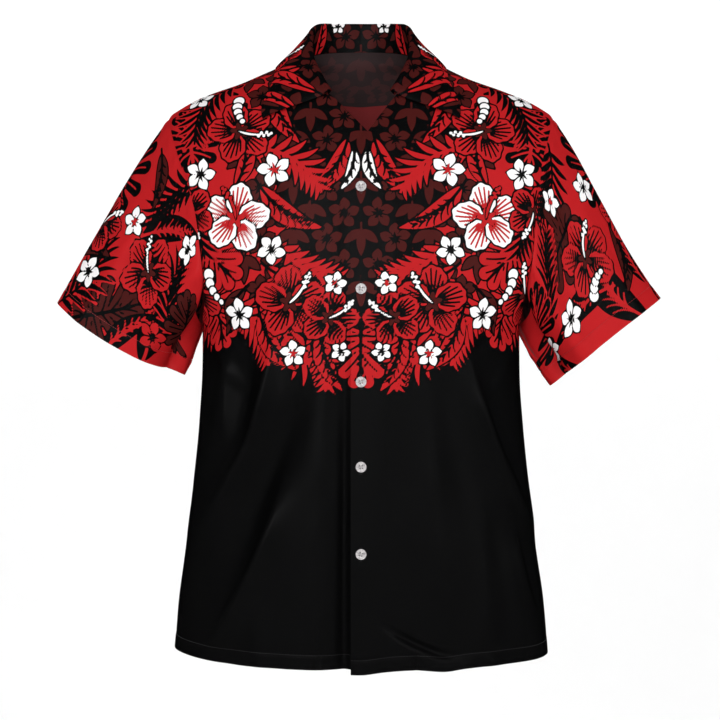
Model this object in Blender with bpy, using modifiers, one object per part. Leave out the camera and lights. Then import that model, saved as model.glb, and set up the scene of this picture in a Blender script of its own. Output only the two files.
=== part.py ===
"""Short-sleeved aloha shirt, filled out as it is worn, with nobody in it.

Metres, +Z up. The front faces -Y and the wearer's left is at +X. The origin is where the shirt hangs on its
wearer: midway between the two neck points, at the height where the shoulder seams meet the collar.
"""

import math
from collections import namedtuple

import bmesh
import bpy
import numpy as np
from mathutils import Vector

# ---------------------------------------------------------------- sizes of the cloth
CLOTH = 0.0012  # wall of the body and the sleeves
COLLAR_CLOTH = 0.0014  # two layers and an interfacing
SEAM = 0.0003  # gap between two pieces where they are sewn
LAP_HALF = 0.012  # how far each front runs past the centre line
LAP_FADE = 0.060  # the overlap's step in depth is gone this far from the centre line
LAP_STEP = (CLOTH + SEAM) / 2 + 0.0003  # how far each front moves out or in at the centre line

# ---------------------------------------------------------------- the body of the shirt
# Level sections from the hem to the neck. Above the underarm half_width is the width the form would have
# with no armhole: the armhole cuts the sides off. square is the exponent of the section's rounded outline.
Section = namedtuple("Section", "height half_width front back square")
SECTIONS = (
    Section(-0.7330, 0.2290, 0.131, 0.121, 2.35),
    Section(-0.6670, 0.2235, 0.132, 0.118, 2.35),
    Section(-0.5930, 0.2135, 0.132, 0.114, 2.35),
    Section(-0.5190, 0.2050, 0.131, 0.110, 2.30),
    Section(-0.4460, 0.1980, 0.130, 0.110, 2.25),
    Section(-0.3900, 0.1945, 0.129, 0.113, 2.20),
    Section(-0.3500, 0.1940, 0.128, 0.117, 2.20),
    Section(-0.3300, 0.1940, 0.128, 0.120, 2.15),
    Section(-0.3000, 0.2180, 0.127, 0.123, 2.10),
    Section(-0.2700, 0.2380, 0.125, 0.125, 2.10),
    Section(-0.2200, 0.2580, 0.121, 0.127, 2.05),
    Section(-0.1600, 0.2620, 0.112, 0.123, 2.00),
    Section(-0.1200, 0.2580, 0.101, 0.116, 2.00),
    Section(-0.0950, 0.2500, 0.092, 0.109, 2.00),
    Section(-0.0750, 0.2370, 0.083, 0.101, 2.00),
    Section(-0.0620, 0.2190, 0.077, 0.095, 2.00),
    Section(-0.0500, 0.1960, 0.071, 0.089, 2.00),
    Section(-0.0325, 0.1480, 0.061, 0.079, 2.00),
    Section(-0.0110, 0.0970, 0.048, 0.067, 2.00),
    Section(0.0000, 0.0660, 0.040, 0.062, 2.00),
    Section(0.0220, 0.0560, 0.030, 0.057, 2.00),
)
HEM = SECTIONS[0].height
HEM_RISE_LEFT = 0.005  # the hem is this much higher at the left side seam than at the centre
HEM_RISE_RIGHT = 0.011
HEM_RISE_ROWS = 0.3  # share of the panel's height over which that is taken up
UNDERARM = -0.330
SHOULDER_POINT = -0.075
NECK_POINT = 0.0
BACK_NECK = 0.017  # the back neckline stands this far above the neck points

# How far out the armhole seam runs: share is the way up from the underarm to the shoulder point. The two
# fronts hang a little differently.
ArmholeRow = namedtuple("ArmholeRow", "share left_front right_front back")
ARMHOLE = (
    ArmholeRow(0.00, 0.194, 0.194, 0.194),
    ArmholeRow(0.13, 0.197, 0.188, 0.195),
    ArmholeRow(0.26, 0.203, 0.189, 0.199),
    ArmholeRow(0.39, 0.207, 0.193, 0.204),
    ArmholeRow(0.52, 0.210, 0.198, 0.209),
    ArmholeRow(0.65, 0.214, 0.207, 0.215),
    ArmholeRow(0.78, 0.219, 0.219, 0.222),
    ArmholeRow(0.90, 0.228, 0.229, 0.230),
    ArmholeRow(1.00, 0.236, 0.236, 0.236),
)

# The front neckline, from the neck point down to the front edge. The left front laps over the right one,
# and out is measured from the centre line towards the front's own side.
NecklineRow = namedtuple("NecklineRow", "out height")
NECKLINE_LEFT = (
    NecklineRow(0.0660, 0.000),
    NecklineRow(0.0640, -0.008),
    NecklineRow(0.0610, -0.020),
    NecklineRow(0.0560, -0.034),
    NecklineRow(0.0490, -0.046),
    NecklineRow(0.0400, -0.058),
    NecklineRow(0.0240, -0.079),
    NecklineRow(0.0083, -0.101),
    NecklineRow(-LAP_HALF, -0.124),
)
NECKLINE_RIGHT = NECKLINE_LEFT[:4] + (
    NecklineRow(0.0480, -0.045),
    NecklineRow(0.0370, -0.054),
    NecklineRow(0.0226, -0.068),
    NecklineRow(0.0070, -0.085),
    NecklineRow(-LAP_HALF, -0.105),
)

# ---------------------------------------------------------------- folds
# Each fold runs from its top to its foot, bowed sideways by bow at the middle, in the (x, height) plane.
# depth is positive for a ridge that stands out and negative for a trough.
Fold = namedtuple("Fold", "top_x top_z foot_x foot_z bow width depth")
FOLD_ENDS = 0.8  # under 1, a fold reaches its depth soon after its ends
FRONT_FOLDS = (
    Fold(-0.104, -0.345, -0.190, -0.572, -0.017, 0.017, 0.0100),
    Fold(-0.156, -0.350, -0.170, -0.480, 0.000, 0.013, 0.0060),
    Fold(-0.135, -0.355, -0.150, -0.500, -0.004, 0.016, -0.0080),
    Fold(-0.072, -0.420, -0.172, -0.660, -0.010, 0.024, -0.0115),
    Fold(-0.100, -0.535, -0.186, -0.705, -0.012, 0.017, 0.0095),
    Fold(0.128, -0.360, 0.202, -0.580, 0.012, 0.017, 0.0085),
    Fold(0.098, -0.370, 0.152, -0.600, 0.010, 0.022, -0.0065),
    Fold(0.176, -0.560, 0.214, -0.740, 0.008, 0.016, 0.0060),
    Fold(0.040, -0.674, 0.132, -0.718, 0.006, 0.015, -0.0100),
)
BACK_FOLDS = (
    Fold(0.112, -0.320, 0.172, -0.590, -0.012, 0.019, 0.0085),
    Fold(-0.106, -0.340, -0.178, -0.640, 0.012, 0.019, 0.0095),
    Fold(0.034, -0.440, 0.064, -0.760, 0.006, 0.024, -0.0085),
    Fold(-0.048, -0.410, -0.078, -0.760, -0.006, 0.024, -0.0095),
    Fold(-0.006, -0.500, -0.012, -0.800, 0.003, 0.020, 0.0065),
    Fold(0.128, -0.470, 0.160, -0.760, 0.004, 0.020, -0.0070),
)
# The right front sinks beside the edge that laps over it, more and more towards the hem.
LAP_TROUGH = Fold(-0.026, -0.360, -0.030, -1.010, 0.0, 0.015, -0.0110)

# Where the left front's hem hangs lower: a fold or an edge that has dropped.
HemDrop = namedtuple("HemDrop", "x width drop")
LEFT_HEM_DROPS = (HemDrop(-0.004, 0.030, 0.0050), HemDrop(0.098, 0.022, 0.0030))

# ---------------------------------------------------------------- sleeves
# The outer and the inner corner of each sleeve's hem, its half depth, how far its front and back hang below
# the line between the corners, and the way the cloth leaves the underarm.
Cuff = namedtuple("Cuff", "outer_x outer_z inner_x inner_z half_depth belly start_x start_z")
CUFFS = {
    "left": Cuff(0.3685, -0.2955, 0.2335, -0.4030, 0.047, -0.003, 0.10, -1.0),
    "right": Cuff(0.3735, -0.3010, 0.2170, -0.3900, 0.047, 0.010, 0.30, -1.0),
}
CAP_DROP = 0.9  # how far the sleeve's head turns down towards the cuff as it leaves the shoulder
CAP_REACH = 0.75  # and how long it keeps that way, as a share of its length
# Folds along a sleeve: position round it (0 underarm, 0.25 front, 0.5 top, 0.75 back), from start to end.
SleeveFold = namedtuple("SleeveFold", "around drift start end width depth")
SLEEVE_FOLDS = (
    SleeveFold(0.120, -0.020, 0.05, 1.30, 0.040, -0.0110),
    SleeveFold(0.200, 0.010, 0.20, 1.35, 0.035, 0.0060),
    SleeveFold(0.870, 0.020, 0.05, 1.30, 0.045, -0.0110),
    SleeveFold(0.780, -0.010, 0.25, 1.35, 0.035, 0.0055),
    SleeveFold(0.660, 0.020, 0.45, 1.40, 0.040, -0.0050),
)

# ---------------------------------------------------------------- collar
# One row for each station, from the centre of the back to the front end: where the collar is sewn on (angle
# round the body and height), the roll where it turns over, and where its outer edge lies on the shirt.
Station = namedtuple("Station", "seam_angle seam_z roll_x roll_y roll_z edge_angle edge_z")
COLLAR = (
    Station(180, BACK_NECK, 0.0000, 0.0640, 0.0535, 180, -0.010),
    Station(150, 0.0152, 0.0310, 0.0580, 0.0525, 152, -0.010),
    Station(120, 0.0098, 0.0520, 0.0350, 0.0485, 123, -0.0105),
    Station(90, 0.0000, 0.0620, 0.0040, 0.0320, 92, -0.0105),
    Station(47, -0.0080, 0.0605, -0.0270, 0.0060, 60, -0.020),
    Station(22, -0.0300, 0.0520, -0.0610, -0.0215, 34.5, -0.049),
    Station(11, -0.0560, 0.0365, -0.0815, -0.0500, 28.4, -0.0855),
)
COLLAR_ROWS = 12
STAND_SHARE = 3 / COLLAR_ROWS  # share of the rows in the stand
LEAF_START = 6 / COLLAR_ROWS  # the rows between the stand and the leaf go round the roll
ROLL_RADIUS = 0.0024
LEAF_REST = 0.0032  # the leaf's middle surface above the cloth it lies on
# The leaf's curve from the roll to its edge, in shares of its length: how far it goes out and falls as it
# leaves the roll, how long it runs flat towards the edge, and how much it arches over the shirt there.
LEAF_OUT, LEAF_FALL, LEAF_FLAT, LEAF_ARCH = 0.12, 0.22, 0.33, 0.10

# ---------------------------------------------------------------- buttons
BUTTON_RADIUS = 0.00635
BUTTON_THICK = 0.0026
ProfilePoint = namedtuple("ProfilePoint", "radius height")  # in shares of the radius and the thickness
BUTTON_PROFILE = (
    ProfilePoint(0.00, 0.70),
    ProfilePoint(0.68, 0.70),
    ProfilePoint(0.81, 1.00),
    ProfilePoint(0.94, 0.92),
    ProfilePoint(1.00, 0.60),
    ProfilePoint(0.94, 0.22),
    ProfilePoint(0.75, 0.00),
    ProfilePoint(0.00, 0.00),
)
BUTTON_HOLE_RADIUS = 0.0009
BUTTON_HOLE_OFFSET = 0.0015
BUTTON_HEIGHTS = (-0.1687, -0.2887, -0.3971, -0.4959, -0.5971)

# ---------------------------------------------------------------- colours
BLACK_CLOTH = (0.012, 0.012, 0.013, 1.0)
RED_CLOTH = (0.43, 0.014, 0.018, 1.0)
DARK_RED_CLOTH = (0.10, 0.012, 0.014, 1.0)
PEARL = (0.62, 0.60, 0.58, 1.0)


def smooth_line(xs, ys):
    """A curve through the points that never overshoots them (xs rise)."""
    xs = np.array(xs, float)
    ys = np.array(ys, float)
    gaps = np.diff(xs)
    slopes = np.diff(ys) / gaps
    tangents = np.zeros(len(xs))
    tangents[0] = slopes[0]
    tangents[-1] = slopes[-1]
    for i in range(1, len(xs) - 1):
        if slopes[i - 1] * slopes[i] > 0:
            near, far = 2 * gaps[i] + gaps[i - 1], gaps[i] + 2 * gaps[i - 1]
            tangents[i] = (near + far) / (near / slopes[i - 1] + far / slopes[i])

    def value(x):
        i = int(np.clip(np.searchsorted(xs, x) - 1, 0, len(gaps) - 1))
        t = (x - xs[i]) / gaps[i]
        t = min(max(t, -0.2), 1.2)
        a = (1 + 2 * t) * (1 - t) ** 2 * ys[i] + t * (1 - t) ** 2 * gaps[i] * tangents[i]
        b = t * t * (3 - 2 * t) * ys[i + 1] + t * t * (t - 1) * gaps[i] * tangents[i + 1]
        return a + b

    return value


# Rows of cloth are spaced by the distance along the side and the shoulder, not by height alone.
GIRTH = [0.0]
for low, high in zip(SECTIONS, SECTIONS[1:]):
    GIRTH.append(GIRTH[-1] + math.hypot(high.height - low.height, high.half_width - low.half_width))
HEIGHT_AT = smooth_line(GIRTH, [s.height for s in SECTIONS])
RUN_AT = smooth_line([s.height for s in SECTIONS], GIRTH)
WIDTH_AT, FRONT_AT, BACK_AT, SQUARE_AT = (
    smooth_line(GIRTH, [getattr(s, column) for s in SECTIONS])
    for column in ("half_width", "front", "back", "square")
)
ARMHOLE_LEFT_FRONT, ARMHOLE_RIGHT_FRONT, ARMHOLE_BACK = (
    smooth_line([r.share for r in ARMHOLE], [getattr(r, column) for r in ARMHOLE])
    for column in ("left_front", "right_front", "back")
)


def smoothstep(x, low, high):
    t = min(max((x - low) / (high - low), 0.0), 1.0)
    return t * t * (3 - 2 * t)


def body_point(angle, run):
    """Point of the body's form: angle 0 is the centre front and 90 degrees the wearer's left side."""
    power = 2 / SQUARE_AT(run)
    s, c = math.sin(angle), math.cos(angle)
    depth = FRONT_AT(run) if c >= 0 else BACK_AT(run)
    x = WIDTH_AT(run) * math.copysign(abs(s) ** power, s)
    y = -depth * math.copysign(abs(c) ** power, c)
    return Vector((x, y, HEIGHT_AT(run)))


def body_normal(angle, run):
    """Outward direction of the body's form."""
    step = 0.002
    around = body_point(angle + step, run) - body_point(angle - step, run)
    upward = body_point(angle, run + step) - body_point(angle, run - step)
    return around.cross(upward).normalized()


def front_angle(x, height):
    """Angle of the point at this distance from the centre line, on the front half."""
    run = RUN_AT(height)
    ratio = min(abs(x) / WIDTH_AT(run), 1.0)
    return math.copysign(math.asin(ratio ** (SQUARE_AT(run) / 2)), x)


def fold_height(folds, x, z):
    """How far the folds move the cloth out at (x, z)."""
    total = 0.0
    for f in folds:
        along = Vector((f.foot_x - f.top_x, f.foot_z - f.top_z))
        length = along.length
        along /= length
        rel = Vector((x - f.top_x, z - f.top_z))
        t = rel.dot(along) / length
        if not 0 < t < 1:
            continue
        aside = rel.x * along.y - rel.y * along.x - 4 * f.bow * t * (1 - t)
        total += f.depth * math.exp(-((aside / f.width) ** 2)) * math.sin(math.pi * t) ** FOLD_ENDS
    return total


def body_cloth(angle, run, folds, lap=0.0):
    """Cloth on the body's form, moved out by the folds and, near the centre line, by the overlap."""
    p = body_point(angle, run)
    lift = fold_height(folds, p.x, p.z)
    if lap:
        lift += lap * (1 - smoothstep(abs(p.x), LAP_HALF, LAP_FADE))
    return p + body_normal(angle, run) * lift


def armhole_at(around, side):
    """(angle, run) of an armhole seam: around 0 is the underarm, 0.25 front, 0.5 shoulder, 0.75 back."""
    rise = math.sin(math.pi * around) ** 2
    height = UNDERARM + (SHOULDER_POINT - UNDERARM) * rise
    in_front = around <= 0.5
    if in_front:
        out = (ARMHOLE_LEFT_FRONT if side > 0 else ARMHOLE_RIGHT_FRONT)(rise)
    else:
        out = ARMHOLE_BACK(rise)
    angle = front_angle(out, height)
    if rise < 1e-9 or rise > 1 - 1e-9:
        angle = math.pi / 2
    return (angle if in_front else math.pi - angle), RUN_AT(height)


# ---------------------------------------------------------------- making objects
def material(name, colour, roughness, metallic=0.0):
    made = bpy.data.materials.new(name)
    made.use_nodes = True
    shader = made.node_tree.nodes["Principled BSDF"]
    shader.inputs["Base Color"].default_value = colour
    shader.inputs["Roughness"].default_value = roughness
    shader.inputs["Metallic"].default_value = metallic
    made.diffuse_color = colour
    return made


def add_object(name, mesh, finish, collection):
    mesh.materials.append(finish)
    mesh.shade_smooth()
    made = bpy.data.objects.new(name, mesh)
    collection.objects.link(made)
    return made


def sheet(name, rows, columns, place, wall, finish, collection, tube=False, trimmed="hst"):
    """A sheet of cloth: a grid whose corner (0, 0) to (1, 1) is carried to place(across, up), then thickened.

    trimmed says which edges draw back to leave a gap at a seam: the sides s, the hem h and the top t. Each
    gives up the whole gap, because the walls' inner corners lean towards each other.
    """
    bm = bmesh.new()
    bmesh.ops.create_grid(bm, x_segments=columns, y_segments=rows, size=1.0)
    grid = {}
    for v in bm.verts:
        column = round((v.co.x + 1) / 2 * columns)
        row = round((v.co.y + 1) / 2 * rows)
        grid[column, row] = v
        v.co = place(column / columns, row / rows)
    trims = []
    for (column, row), v in grid.items():
        inward = Vector()
        if "h" in trimmed and row == 0:
            inward += (grid[column, 1].co - v.co).normalized()
        if "t" in trimmed and row == rows:
            inward += (grid[column, rows - 1].co - v.co).normalized()
        if "s" in trimmed and column == 0:
            inward += (grid[1, row].co - v.co).normalized()
        if "s" in trimmed and column == columns:
            inward += (grid[columns - 1, row].co - v.co).normalized()
        trims.append((v, inward * SEAM))
    for v, move in trims:
        v.co += move
    if tube:
        bmesh.ops.remove_doubles(bm, verts=bm.verts, dist=1e-5)
    mesh = bpy.data.meshes.new(name)
    bm.to_mesh(mesh)
    bm.free()
    made = add_object(name, mesh, finish, collection)
    solid = made.modifiers.new("cloth", "SOLIDIFY")
    solid.thickness = wall
    solid.offset = 0.0
    solid.use_quality_normals = True
    return made


# ---------------------------------------------------------------- fronts and back
# Rows and columns of the grids. Pieces that are sewn together have the same points along their seam.
SIDE_ROWS = 17
ARMHOLE_ROWS = 14
PANEL_ROWS = SIDE_ROWS + ARMHOLE_ROWS
NECK_COLUMNS = 6  # along half of the back neckline
SHOULDER_COLUMNS = 7
FRONT_COLUMNS = 2 * SHOULDER_COLUMNS
BODY_SHARE = SIDE_ROWS / PANEL_ROWS  # share of a panel's rows that lie below the underarm
EDGE_SHARE = BODY_SHARE + 6 / PANEL_ROWS  # the front edge turns into the neckline here


def side_edge(up, side, behind):
    """(angle, run) of a panel's outer edge: the side seam, then half of the armhole up to the shoulder."""
    if up <= BODY_SHARE:
        return math.pi / 2, RUN_AT(UNDERARM) * up / BODY_SHARE
    half = 0.5 * (up - BODY_SHARE) / (1 - BODY_SHARE)
    return armhole_at(1 - half if behind else half, side)


def hem_lift(angle, up, side):
    """The hem's rise towards the side seams, taken up by the rows above it."""
    rise = HEM_RISE_LEFT if side > 0 else HEM_RISE_RIGHT
    return rise * math.sin(angle) ** 2 * max(0.0, 1 - up / HEM_RISE_ROWS)


def front_edge(up, neckline):
    """(angle, run) of a front's inner edge: straight up the centre, then along the neckline."""
    corner = neckline[-1]
    if up <= BODY_SHARE:
        height = HEIGHT_AT(RUN_AT(UNDERARM) * up / BODY_SHARE)
    elif up <= EDGE_SHARE:
        height = UNDERARM + (corner.height - UNDERARM) * (up - BODY_SHARE) / (EDGE_SHARE - BODY_SHARE)
    if up <= EDGE_SHARE:
        return front_angle(corner.out, height), RUN_AT(height)
    along = (up - EDGE_SHARE) / (1 - EDGE_SHARE)
    steps = [0.0]
    rising = neckline[::-1]
    for a, b in zip(rising, rising[1:]):
        steps.append(steps[-1] + math.hypot(b.out - a.out, b.height - a.height))
    share = along * steps[-1]
    out = smooth_line(steps, [r.out for r in rising])(share)
    height = smooth_line(steps, [r.height for r in rising])(share)
    if along > 1 - 1e-9:
        return math.pi / 2, RUN_AT(NECK_POINT)
    return front_angle(out, height), RUN_AT(height)


def front(name, side, neckline, lap, folds, drops, finish, collection):
    def place(across, up):
        inner, outer = front_edge(up, neckline), side_edge(up, side, behind=False)
        angle = inner[0] + (outer[0] - inner[0]) * across
        run = inner[1] + (outer[1] - inner[1]) * across + hem_lift(angle, up, side)
        made = body_cloth(side * angle, run, folds, lap)
        for d in drops:
            made.z -= d.drop * math.exp(-(((made.x - d.x) / d.width) ** 2)) * max(0.0, 1 - up / HEM_RISE_ROWS)
        return made

    return sheet(name, PANEL_ROWS, FRONT_COLUMNS, place, CLOTH, finish, collection)


BACK_PULL = 1.5  # how late the back's rows turn into the line of the neckline and the shoulders
BACK_COLUMNS = 2 * (NECK_COLUMNS + SHOULDER_COLUMNS)
NECK_SHARE = 2 * NECK_COLUMNS / BACK_COLUMNS


def back_top(half):
    """(angle, run) of the back's top edge: the neckline as far as the neck point, then the shoulder seam."""
    if half < NECK_SHARE + 1e-6:
        angle = math.pi - math.pi / 2 * min(half / NECK_SHARE, 1.0)
        rise = max(-math.cos(angle), 0.0) ** 0.8
        return angle, RUN_AT(NECK_POINT + (BACK_NECK - NECK_POINT) * rise)
    turn = (half - NECK_SHARE) / (1 - NECK_SHARE)
    return math.pi / 2, RUN_AT(NECK_POINT) + (RUN_AT(SHOULDER_POINT) - RUN_AT(NECK_POINT)) * turn


def back(name, finish, collection):
    underarm, top, shoulder = RUN_AT(UNDERARM), RUN_AT(BACK_NECK), RUN_AT(SHOULDER_POINT)

    def place(across, up):
        half = abs(2 * across - 1)
        side = 1 if across > 0.5 else -1
        outer = side_edge(up, side, behind=True)
        above = max(0.0, (up - BODY_SHARE) / (1 - BODY_SHARE))
        middle = underarm + (top - underarm) * above if above else underarm * up / BODY_SHARE
        angle = math.pi + (outer[0] - math.pi) * half
        run = middle + (outer[1] - middle) * half
        top_angle, top_run = back_top(half)
        angle += above**BACK_PULL * (top_angle - (math.pi - math.pi / 2 * half))
        run += above**BACK_PULL * (top_run - (top + (shoulder - top) * half))
        return body_cloth(side * angle, run + hem_lift(angle, up, side), BACK_FOLDS)

    return sheet(name, PANEL_ROWS, BACK_COLUMNS, place, CLOTH, finish, collection)


# ---------------------------------------------------------------- sleeves
SLEEVE_ROWS = 10
SLEEVE_MIDDLE = Vector((0.207, 0.0, -0.190))  # the sleeve's folds push away from here at the armhole
TURNED_BACK = 0.6  # the seam's set-off is whole where the sleeve doubles back this much


def sleeve(name, side, cuff, finish, collection):
    outer = Vector((cuff.outer_x, 0.0, cuff.outer_z))
    inner = Vector((cuff.inner_x, 0.0, cuff.inner_z))
    centre = (outer + inner) / 2
    half = (outer - inner) / 2
    axis = Vector((abs(half.z), 0.0, -abs(half.x))).normalized()
    underarm_start = Vector((cuff.start_x, 0.0, cuff.start_z)).normalized()

    def seam(around):
        """Point of the armhole seam, the panel's outward direction and its way on past the seam."""
        angle, run = armhole_at(around, side)
        before, after = (body_point(*armhole_at((around + d) % 1.0, side)) for d in (-0.004, 0.004))
        out = body_normal(angle, run)
        onward = out.cross(after - before).normalized()
        if around < 1e-6 or around > 1 - 1e-6:
            out = Vector((1.0, 0.0, 0.0))
            onward = Vector((0.0, 0.0, 1.0))
        if onward.dot(Vector((1.0, 0.0, 0.5))) < 0:
            onward = -onward
        return body_point(angle, run), out, onward

    def fold_lift(around, along):
        lift = 0.0
        for f in SLEEVE_FOLDS:
            share = (along - f.start) / (f.end - f.start)
            if 0 < share < 1:
                aside = (around - f.around - f.drift * share) / f.width
                lift += f.depth * math.exp(-aside * aside) * math.sin(math.pi * share)
        return lift

    def place(across, along):
        around = 1 - across
        phase = 2 * math.pi * around
        sewn, out, onward = seam(around)
        to_cuff = (centre - half * math.cos(phase) - sewn).normalized()
        cap = (onward + to_cuff * CAP_DROP).normalized()
        start = underarm_start.lerp(cap, math.sin(math.pi * around) ** 2).normalized()
        # Where the sleeve turns away from the panel, its edge is set off so that the two walls don't meet.
        ahead, aside = start.dot(onward), start.dot(out)
        size = math.hypot(ahead, aside)
        clear_ahead = CLOTH / 2 * abs(aside) / size + 2 * SEAM
        clear_out = (CLOTH / 2 * (1 - ahead / size) + SEAM) * smoothstep(-ahead / size, 0.0, TURNED_BACK)
        sewn = sewn + onward * clear_ahead + out * clear_out
        end = centre - half * math.cos(phase) - Vector((0.0, cuff.half_depth * math.sin(phase), 0.0))
        end += axis * cuff.belly * math.sin(phase) ** 2
        length = (end - sewn).length
        t = along
        made = (
            sewn * (1 + 2 * t) * (1 - t) ** 2
            + start * length * CAP_REACH * t * (1 - t) ** 2
            + end * t * t * (3 - 2 * t)
            + axis * length * t * t * (t - 1)
        )
        outward = made - SLEEVE_MIDDLE.lerp(centre, t)
        outward = (outward - axis * outward.dot(axis)).normalized()
        made += outward * fold_lift(around, t)
        made.x *= side
        return made

    return sheet(name, SLEEVE_ROWS, 2 * ARMHOLE_ROWS, place, CLOTH, finish, collection, tube=True, trimmed="")


# ---------------------------------------------------------------- collar
def collar(name, finish, collection):
    order = list(range(len(COLLAR)))
    lines = {column: smooth_line(order, [getattr(s, column) for s in COLLAR]) for column in Station._fields}

    def place(across, up):
        side = 1 if across > 0.5 else -1
        at = abs(2 * across - 1) * order[-1]
        row = {column: line(at) for column, line in lines.items()}
        angle, run = math.radians(row["seam_angle"]), RUN_AT(row["seam_z"])
        sewn, out = body_point(angle, run), body_normal(angle, run)
        roll = Vector((row["roll_x"], row["roll_y"], row["roll_z"]))
        edge_angle, edge_run = math.radians(row["edge_angle"]), RUN_AT(row["edge_z"])
        rest = body_normal(edge_angle, edge_run)
        edge = body_point(edge_angle, edge_run) + rest * LEAF_REST
        sewn += out * ((CLOTH + COLLAR_CLOTH) / 2 + 3 * SEAM)
        rise = (roll - sewn).normalized()
        away = edge - roll
        away = (away - rise * away.dot(rise)).normalized()
        middle = roll - rise * ROLL_RADIUS
        if up < STAND_SHARE:
            made = sewn.lerp(middle - away * ROLL_RADIUS, up / STAND_SHARE)
        elif up < LEAF_START:
            turn = math.pi * (up - STAND_SHARE) / (LEAF_START - STAND_SHARE)
            made = middle - away * ROLL_RADIUS * math.cos(turn) + rise * ROLL_RADIUS * math.sin(turn)
        else:
            t = (up - LEAF_START) / (1 - LEAF_START)
            begin = middle + away * ROLL_RADIUS
            reach = (edge - begin).length
            first = begin + (away * LEAF_OUT - rise * LEAF_FALL) * reach
            last = edge + (begin - edge) * LEAF_FLAT + rest * LEAF_ARCH * reach
            made = (
                begin * (1 - t) ** 3
                + first * 3 * t * (1 - t) ** 2
                + last * 3 * t * t * (1 - t)
                + edge * t**3
            )
        made.x *= side
        return made

    return sheet(name, COLLAR_ROWS, 4 * NECK_COLUMNS, place, COLLAR_CLOTH, finish, collection, trimmed="")


# ---------------------------------------------------------------- buttons
def button_hole_cutter(cutters):
    bm = bmesh.new()
    for x in (-1, 1):
        for y in (-1, 1):
            made = bmesh.ops.create_cone(
                bm,
                cap_ends=True,
                segments=6,
                radius1=BUTTON_HOLE_RADIUS,
                radius2=BUTTON_HOLE_RADIUS,
                depth=4 * BUTTON_THICK,
            )
            offset = (x * BUTTON_HOLE_OFFSET, y * BUTTON_HOLE_OFFSET, 0.0)
            bmesh.ops.translate(bm, verts=made["verts"], vec=offset)
    mesh = bpy.data.meshes.new("button_holes")
    bm.to_mesh(mesh)
    bm.free()
    cutter = bpy.data.objects.new("button_holes", mesh)
    cutters.objects.link(cutter)
    cutter.hide_render = True
    cutter.display_type = "WIRE"
    return cutter


def button_mesh(cutters):
    """A four-hole shirt button lying flat, its back at z = 0: a turned disc with a raised rim."""
    bm = bmesh.new()
    verts = [bm.verts.new((BUTTON_RADIUS * p.radius, 0.0, BUTTON_THICK * p.height)) for p in BUTTON_PROFILE]
    for a, b in zip(verts, verts[1:]):
        bm.edges.new((a, b))
    mesh = bpy.data.meshes.new("button_turned")
    bm.to_mesh(mesh)
    bm.free()
    blank = bpy.data.objects.new("button_blank", mesh)
    cutters.objects.link(blank)
    turn = blank.modifiers.new("turned", "SCREW")
    turn.steps = turn.render_steps = 16
    turn.use_merge_vertices = True
    turn.merge_threshold = 0.00001
    holes = blank.modifiers.new("holes", "BOOLEAN")
    holes.operation = "DIFFERENCE"
    holes.object = button_hole_cutter(cutters)
    bpy.context.view_layer.update()
    graph = bpy.context.evaluated_depsgraph_get()
    made = bpy.data.meshes.new_from_object(blank.evaluated_get(graph))
    made.name = "button"
    bpy.data.objects.remove(blank)
    return made


def buttons(finish, cutters, collection):
    mesh = button_mesh(cutters)
    mesh.materials.clear()
    for number, height in enumerate(BUTTON_HEIGHTS, start=1):
        run = RUN_AT(height)
        out = body_normal(0.0, run)
        at = body_cloth(0.0, run, FRONT_FOLDS, LAP_STEP)
        made = add_object(f"button_{number}", mesh.copy(), finish, collection)
        made.location = at + out * (CLOTH / 2 + SEAM)
        made.rotation_mode = "QUATERNION"
        made.rotation_quaternion = out.to_track_quat("Z", "Y")


# ---------------------------------------------------------------- the shirt
def new_collection(name):
    made = bpy.data.collections.new(name)
    bpy.context.scene.collection.children.link(made)
    return made


def main():
    for old in list(bpy.data.objects):
        bpy.data.objects.remove(old)
    shirt = new_collection("aloha_shirt")
    cutters = new_collection("cutters")
    black = material("black_cloth", BLACK_CLOTH, 0.62)
    red = material("red_cloth", RED_CLOTH, 0.66)
    dark_red = material("dark_red_cloth", DARK_RED_CLOTH, 0.66)
    pearl = material("pearl", PEARL, 0.28)
    front("front_left", 1, NECKLINE_LEFT, LAP_STEP, FRONT_FOLDS, LEFT_HEM_DROPS, black, shirt)
    front("front_right", -1, NECKLINE_RIGHT, -LAP_STEP, FRONT_FOLDS + (LAP_TROUGH,), (), black, shirt)
    back("back", black, shirt)
    sleeve("sleeve_left", 1, CUFFS["left"], red, shirt)
    sleeve("sleeve_right", -1, CUFFS["right"], red, shirt)
    collar("collar", dark_red, shirt)
    buttons(pearl, cutters, shirt)


main()
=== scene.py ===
"""Aloha shirt in printed satin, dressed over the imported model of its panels. Metres, +Z up, front to -Y."""

import math
from collections import namedtuple

import bmesh
import bpy
import numpy as np
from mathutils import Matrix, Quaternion, Vector


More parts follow.
